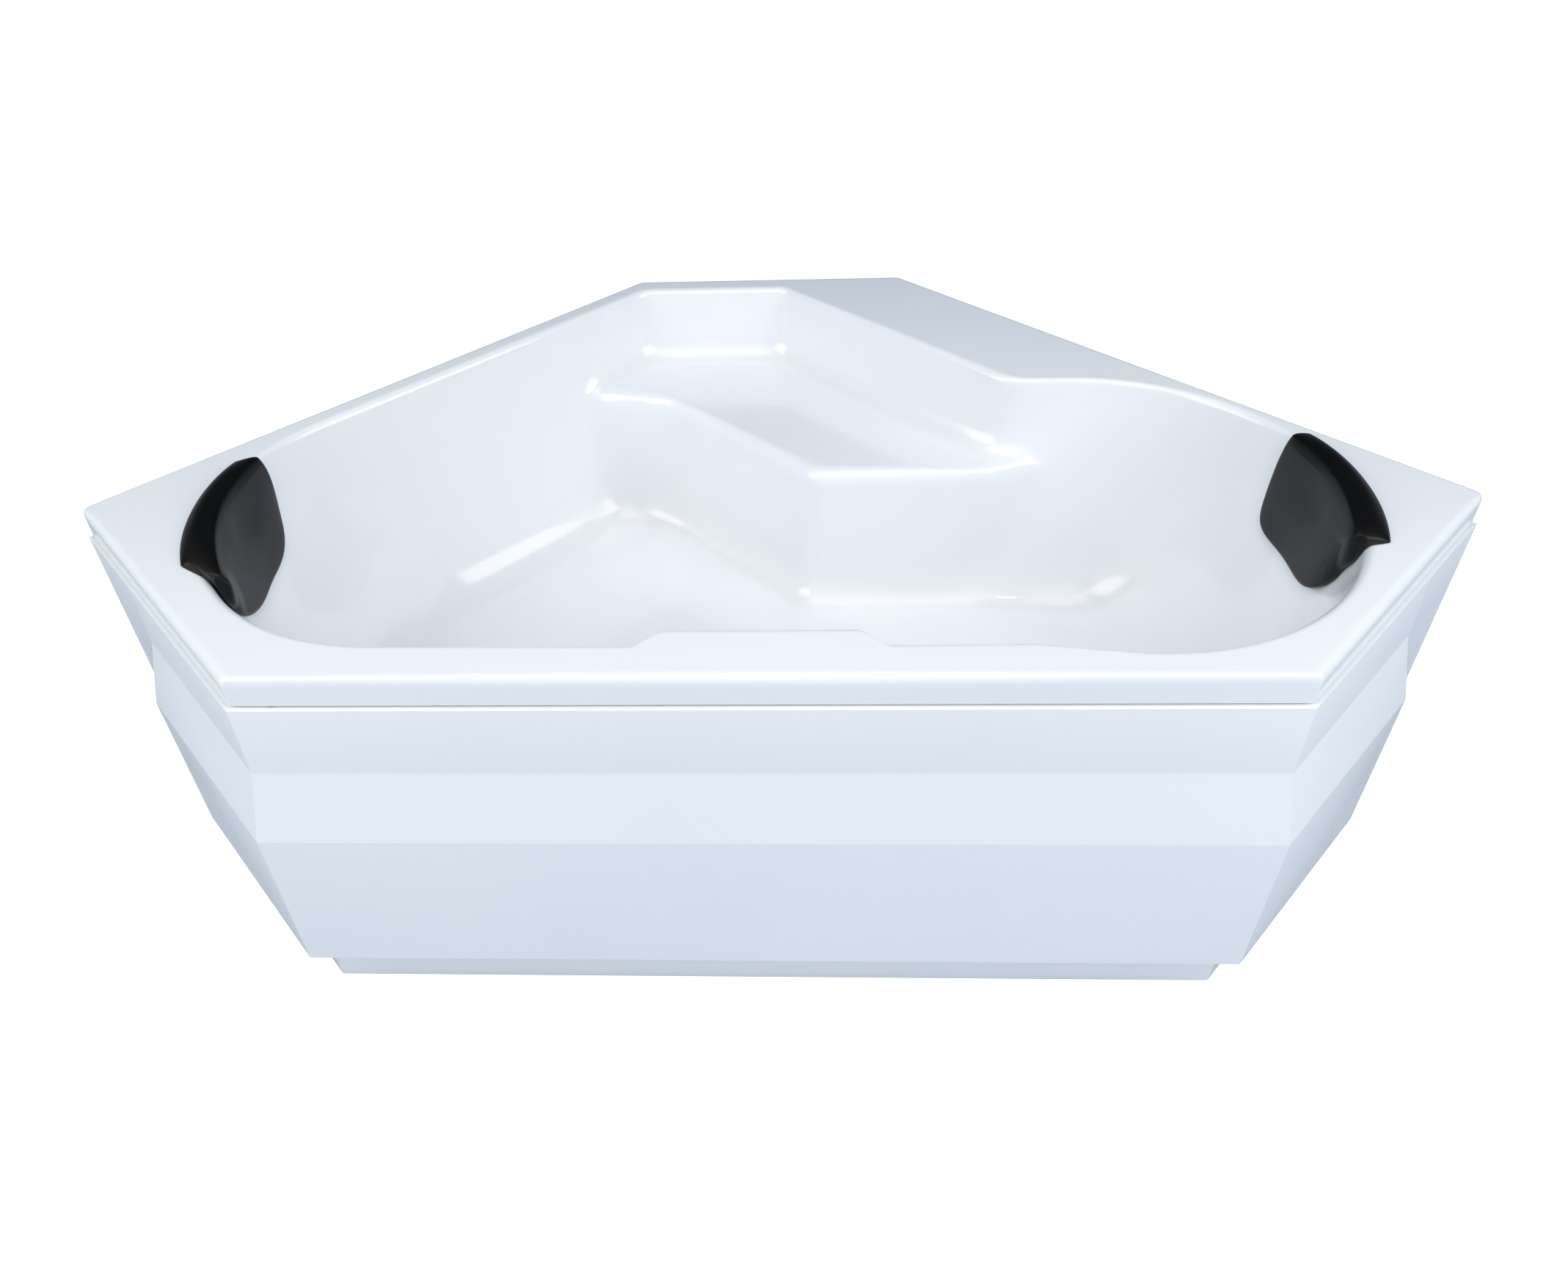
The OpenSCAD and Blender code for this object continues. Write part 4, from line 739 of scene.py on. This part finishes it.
# %% Building a node group
def node_group(name, inputs, outputs, build):
    group = bpy.data.node_groups.new(name, "ShaderNodeTree")
    for label, kind, value in inputs:
        added = group.interface.new_socket(name=label, in_out="INPUT", socket_type=kind)
        added.default_value = value
    for label, kind in outputs:
        group.interface.new_socket(name=label, in_out="OUTPUT", socket_type=kind)
    build(group.nodes, group.links, group.nodes.new("NodeGroupInput"), group.nodes.new("NodeGroupOutput"))
    return group


def value_math(nodes, links, operation, a, b):
    added = nodes.new("ShaderNodeMath")
    added.operation = operation
    for socket, value in zip(added.inputs, (a, b)):
        if isinstance(value, (int, float)):
            socket.default_value = value
        else:
            links.new(value, socket)
    return added.outputs[0]


def noise_on(nodes, links, given, place, detail):
    """A noise at the group's Scale over these coordinates."""
    noise = nodes.new("ShaderNodeTexNoise")
    noise.inputs["Detail"].default_value = detail
    links.new(place, noise.inputs["Vector"])
    links.new(given.outputs["Scale"], noise.inputs["Scale"])
    return noise


def dark_to_light(nodes, links, given, out, factor):
    """Mixes the group's two colours by a factor, into its output."""
    mix = nodes.new("ShaderNodeMix")
    mix.data_type = "RGBA"
    links.new(factor, mix.inputs["Factor"])
    links.new(given.outputs["Dark"], mix.inputs["A"])
    links.new(given.outputs["Light"], mix.inputs["B"])
    links.new(mix.outputs["Result"], out.inputs["Colour"])


def build_drift(nodes, links, given, out):
    place = nodes.new("ShaderNodeTexCoord")
    noise = noise_on(nodes, links, given, place.outputs["Object"], 3)
    dark_to_light(nodes, links, given, out, noise.outputs["Fac"])
    spread = value_math(nodes, links, "SUBTRACT", noise.outputs["Fac"], 0.5)
    swing = value_math(nodes, links, "MULTIPLY", spread, given.outputs["Gloss swing"])
    rough = value_math(nodes, links, "ADD", given.outputs["Roughness"], swing)
    links.new(rough, out.inputs["Roughness"])


DRIFT = node_group(
    "colour drift",
    [("Dark", "NodeSocketColor", (0.8, 0.8, 0.8, 1)), ("Light", "NodeSocketColor", (0.9, 0.9, 0.9, 1)),
     ("Scale", "NodeSocketFloat", 4.0), ("Roughness", "NodeSocketFloat", 0.4),
     ("Gloss swing", "NodeSocketFloat", 0.1)],
    [("Colour", "NodeSocketColor"), ("Roughness", "NodeSocketFloat")], build_drift)


def build_grain(nodes, links, given, out):
    place = nodes.new("ShaderNodeTexCoord")
    cells = nodes.new("ShaderNodeTexVoronoi")
    cells.feature = "SMOOTH_F1"
    links.new(place.outputs["Object"], cells.inputs["Vector"])
    links.new(given.outputs["Scale"], cells.inputs["Scale"])
    noise = noise_on(nodes, links, given, place.outputs["Object"], 4)
    cell_part = value_math(nodes, links, "MULTIPLY", cells.outputs["Distance"], given.outputs["Cells"])
    height = value_math(nodes, links, "ADD", cell_part, noise.outputs["Fac"])
    links.new(height, out.inputs["Height"])


GRAIN = node_group(
    "fine grain",
    [("Scale", "NodeSocketFloat", 200.0), ("Cells", "NodeSocketFloat", 1.0)],
    [("Height", "NodeSocketFloat")], build_grain)


def build_streak(nodes, links, given, out):
    place = nodes.new("ShaderNodeTexCoord")
    stretch = nodes.new("ShaderNodeVectorMath")
    stretch.operation = "MULTIPLY"
    links.new(place.outputs["Object"], stretch.inputs[0])
    links.new(given.outputs["Stretch"], stretch.inputs[1])
    noise = noise_on(nodes, links, given, stretch.outputs["Vector"], 5)
    noise.inputs["Distortion"].default_value = 0.4
    dark_to_light(nodes, links, given, out, noise.outputs["Fac"])
    links.new(noise.outputs["Fac"], out.inputs["Height"])


STREAK = node_group(
    "streaks",
    [("Dark", "NodeSocketColor", (0.4, 0.3, 0.2, 1)), ("Light", "NodeSocketColor", (0.7, 0.6, 0.4, 1)),
     ("Scale", "NodeSocketFloat", 10.0), ("Stretch", "NodeSocketVector", (1, 8, 8))],
    [("Colour", "NodeSocketColor"), ("Height", "NodeSocketFloat")], build_streak)
print("node groups:", [g.name for g in bpy.data.node_groups])


# %% [markdown]
# ## Finishes
# One function makes a finish from the groups above. The drift gives roughness and, where nothing streaks,
# the colour. The grain or the streaks give the bump. What is the same all over, such as metallic or coat,
# is set on the shader itself.

# %% Making a finish
def linear(hex_code):
    """A colour written as six hex digits, as the linear values that a shader takes."""
    parts = [int(hex_code[i:i + 2], 16) / 255 for i in (0, 2, 4)]
    return tuple(p / 12.92 if p <= 0.04045 else ((p + 0.055) / 1.055) ** 2.4 for p in parts) + (1,)


def placed_group(tree, group, **values):
    added = tree.nodes.new("ShaderNodeGroup")
    added.node_tree = group
    for label, value in values.items():
        added.inputs[label.replace("_", " ")].default_value = value
    return added


def finish(name, dark, light, scale=4, roughness=0.4, swing=0.1, grain=200, cells=1.0, depth=0.0,
           metallic=0.0, coat=0.0, coat_roughness=0.05, streak=None, sheen=0.0, ior=1.5):
    """A material: its colour drifts or streaks from dark to light, and depth is the grain's in mm."""
    material = bpy.data.materials.new(name)
    material.use_nodes = True
    tree = material.node_tree
    shader = tree.nodes["Principled BSDF"]
    drift = placed_group(tree, DRIFT, Dark=linear(dark), Light=linear(light), Scale=scale,
                         Roughness=roughness, Gloss_swing=swing)
    tree.links.new(drift.outputs["Roughness"], shader.inputs["Roughness"])
    source = drift
    if streak:
        source = placed_group(tree, STREAK, Dark=linear(dark), Light=linear(light), Scale=scale,
                              Stretch=streak)
    tree.links.new(source.outputs["Colour"], shader.inputs["Base Color"])
    if depth:
        height = source if streak else placed_group(tree, GRAIN, Scale=grain, Cells=cells)
        bump = tree.nodes.new("ShaderNodeBump")
        bump.inputs["Distance"].default_value = depth * MM
        tree.links.new(height.outputs["Height"], bump.inputs["Height"])
        tree.links.new(bump.outputs["Normal"], shader.inputs["Normal"])
    shader.inputs["Metallic"].default_value = metallic
    shader.inputs["IOR"].default_value = ior
    shader.inputs["Coat Weight"].default_value = coat
    shader.inputs["Coat Roughness"].default_value = coat_roughness
    shader.inputs["Sheen Weight"].default_value = sheen
    material.diffuse_color = linear(light)
    return material


# %% The finishes of this tub
acrylic = finish("polished acrylic", "EDEFF2", "F3F4F6", scale=2.5, roughness=0.22, swing=0.03,
                 grain=90, cells=0.2, depth=0.006, coat=0.42, coat_roughness=0.03, ior=1.49)
panel_acrylic = finish("panel acrylic", "EBEDF1", "F1F2F5", scale=2.5, roughness=0.22, swing=0.04,
                       grain=120, cells=0.3, depth=0.008, coat=0.25, coat_roughness=0.1, ior=1.49)
# The darker, glossier skin on top and at the ends: its black is partly painted shade
pillow_skin_painted_shade = finish("pillow skin painted shade", "08090B", "0C0D0F", scale=14, roughness=0.42, swing=0.06,
                     grain=1100, cells=0.8, depth=0.06, ior=1.36)
# The lighter, matt face: its charcoal is partly painted light from the white basin
pillow_face_painted_light = finish("pillow face painted light", "202126", "27282D", scale=14, roughness=0.62, swing=0.1,
                     grain=900, cells=0.8, depth=0.16, sheen=0.04, ior=1.4)
chipboard = finish("resin-coated board", "A88F66", "D2BE95", scale=160, roughness=0.5, swing=0.2,
                   grain=420, cells=1.0, depth=0.3)
pine = finish("pine batten", "A87C48", "D6B07A", scale=14, roughness=0.6, swing=0.1,
              streak=(1, 9, 9), depth=0.25)
galvanised = finish("galvanised steel", "8D949A", "AEB4B9", scale=26, roughness=0.42, swing=0.2,
                    grain=60, cells=1.2, depth=0.03, metallic=0.85)
zinc = finish("zinc-plated steel", "B2B6BA", "CBCFD2", scale=40, roughness=0.3, swing=0.12,
              grain=300, cells=0.5, depth=0.02, metallic=0.95)
foot_plastic = finish("black foot plastic", "202124", "2B2C30", scale=60, roughness=0.5, swing=0.1,
                      grain=900, cells=0.8, depth=0.06)
plug_plastic = finish("dark plug plastic", "1F2023", "2A2B2E", scale=60, roughness=0.45, swing=0.1,
                      grain=900, cells=0.8, depth=0.05)
chrome = finish("polished chrome", "C9CDD1", "D6DADD", scale=12, roughness=0.07, swing=0.03,
                grain=160, cells=0.3, depth=0.004, metallic=1.0)
seal_rubber = finish("seal rubber", "1C1C1E", "27272A", scale=80, roughness=0.65, swing=0.1,
                     grain=900, cells=1.0, depth=0.08)
white_pipe = finish("white pipe plastic", "E9E9E4", "F2F2EE", scale=10, roughness=0.3, swing=0.06,
                    grain=500, cells=0.4, depth=0.02)
cable_skin = finish("cable sheath", "3A3D42", "4A4D53", scale=90, roughness=0.45, swing=0.1,
                    grain=700, cells=0.6, depth=0.04)
print("finishes:", len(bpy.data.materials))

# %% Giving each piece its finish
FINISH_OF_SLOT = {
    "acrylic": acrylic, "panel": panel_acrylic, "board": chipboard, "batten": pine,
    "frame_steel": galvanised, "zinc": zinc, "foot_plastic": foot_plastic, "pillow": pillow_skin_painted_shade,
    "plug_plastic": plug_plastic, "chrome": chrome, "seal": seal_rubber, "white_plastic": white_pipe}


def wear(piece, *materials):
    piece.data.materials.clear()
    for m in materials:
        piece.data.materials.append(m)


slot_of_node = {part["node"]: part["material_slot"] for part in frame["record"]["subparts"]}
for node, piece in frame["nodes"].items():
    wear(piece, FINISH_OF_SLOT[slot_of_node[node]])
wear(frame["nodes"]["lift_cable"], cable_skin)
# The pillows wear the darker skin, partly painted shade, and on the face the lighter one, partly painted
# light
for piece, materials in ((tub_skin, (acrylic,)), (panel_skin, (panel_acrylic,)),
                         (left_cushion, (pillow_skin_painted_shade, pillow_face_painted_light)),
                         (right_cushion, (pillow_skin_painted_shade, pillow_face_painted_light))):
    marks = [f.material_index for f in piece.data.polygons]
    wear(piece, *materials)
    for f, mark in zip(piece.data.polygons, marks):
        f.material_index = mark
print("slots used:", sorted(set(slot_of_node.values())))

# %% [markdown]
# ## Floor, room light and lamps
# The photograph shows the tub on pure white, lit softly from above and from both sides, so the back deck is
# darker than the front one. The floor is a wide pale sheet. The camera sees it lifted towards white, but
# with the tub's soft shadow still on it, and the polished acrylic mirrors it as dim and cool. The world
# gives a little cool light. One lamp hangs over the basin, two larger and stronger ones stand at the sides
# and a weak one hangs behind the camera. Two tiny ones only make the short sparkles that the photograph
# shows where the acrylic bends.

# %% Floor and world
def seen_only(tree, output, plain, by_camera, by_mirrors, tint):
    """Shows white to the camera and a tint to reflections, each as (share, strength).

    All other light meets the plain shader.
    """
    nodes, links = tree.nodes, tree.links
    path = nodes.new("ShaderNodeLightPath")
    camera_part = value_math(nodes, links, "MULTIPLY", path.outputs["Is Camera Ray"], by_camera[0])
    mirror_part = value_math(nodes, links, "MULTIPLY", path.outputs["Is Glossy Ray"], by_mirrors[0])
    share = value_math(nodes, links, "MAXIMUM", camera_part, mirror_part)
    camera_white = value_math(nodes, links, "MULTIPLY", path.outputs["Is Camera Ray"], by_camera[1])
    mirror_tint = value_math(nodes, links, "MULTIPLY", path.outputs["Is Glossy Ray"], by_mirrors[1])
    glow = nodes.new("ShaderNodeEmission")
    hue = nodes.new("ShaderNodeMix")
    hue.data_type = "RGBA"
    links.new(path.outputs["Is Camera Ray"], hue.inputs["Factor"])
    hue.inputs["A"].default_value = tint
    hue.inputs["B"].default_value = (1, 1, 1, 1)
    links.new(hue.outputs["Result"], glow.inputs["Color"])
    links.new(value_math(nodes, links, "MAXIMUM", camera_white, mirror_tint), glow.inputs["Strength"])
    mix = nodes.new("ShaderNodeMixShader")
    links.new(share, mix.inputs[0])
    links.new(plain, mix.inputs[1])
    links.new(glow.outputs[0], mix.inputs[2])
    links.new(mix.outputs[0], output)


FLOOR_SIZE = 40
bpy.ops.object.select_all(action="DESELECT")
bpy.ops.mesh.primitive_plane_add(size=FLOOR_SIZE, location=(0, 0, 0))
floor = bpy.context.object
floor.name = "studio_floor"
floor_white = bpy.data.materials.new("studio floor")
floor_white.use_nodes = True
floor_tree = floor_white.node_tree
floor_shader = floor_tree.nodes["Principled BSDF"]
floor_shader.inputs["Base Color"].default_value = linear("F4F6F8")
floor_shader.inputs["Roughness"].default_value = 0.9
seen_only(floor_tree, floor_tree.nodes["Material Output"].inputs["Surface"], floor_shader.outputs[0],
          by_camera=(0.75, 1.3), by_mirrors=(0.72, 0.36), tint=(0.585, 0.747, 1, 1))
wear(floor, floor_white)

world = bpy.data.worlds.new("white studio")
bpy.context.scene.world = world
world.use_nodes = True
world_tree = world.node_tree
room = world_tree.nodes["Background"]
room.inputs["Color"].default_value = (0.378, 0.652, 1.0, 1)
room.inputs["Strength"].default_value = 0.355
seen_only(world_tree, world_tree.nodes["World Output"].inputs["Surface"], room.outputs[0],
          by_camera=(1, 1), by_mirrors=(1, 0.02), tint=(0.8, 0.9, 1, 1))


# %% Lamps
def lamp(name, place, target, size, power, colour):
    bpy.ops.object.light_add(type="AREA", location=place)
    added = bpy.context.object
    added.name = name
    added.data.size = size
    added.data.energy = power
    added.data.color = colour
    added.rotation_euler = (Vector(target) - Vector(place)).to_track_quat("-Z", "Y").to_euler()


MIDDLE, FRONT_MIDDLE, WHITE = (0, 0, 0.4), (0, -0.2, 0.4), (1, 1, 1)
LAMPS = (
    ("top_lamp", (0, -0.6, 2.7), MIDDLE, 1.5, 13.7, (1, 0.872, 0.825)),
    ("left_lamp", (-2.4, -1.4, 2.2), MIDDLE, 2.2, 50.6, (1, 0.965, 0.878)),
    ("right_lamp", (2.4, -1.4, 2.2), MIDDLE, 2.2, 53.0, (1, 0.973, 0.908)),
    ("high_lamp", (0.1, -2.2, 2.6), FRONT_MIDDLE, 1.6, 9.6, (1, 0.99, 0.93)),
    ("spark_lamp", (-0.9, -1.4, 2.6), MIDDLE, 0.07, 0.9, WHITE),
    ("spark_lamp", (0.9, -1.4, 2.6), MIDDLE, 0.07, 0.9, WHITE))
for place_and_light in LAMPS:
    lamp(*place_and_light)
bpy.context.scene.view_settings.view_transform = "Standard"
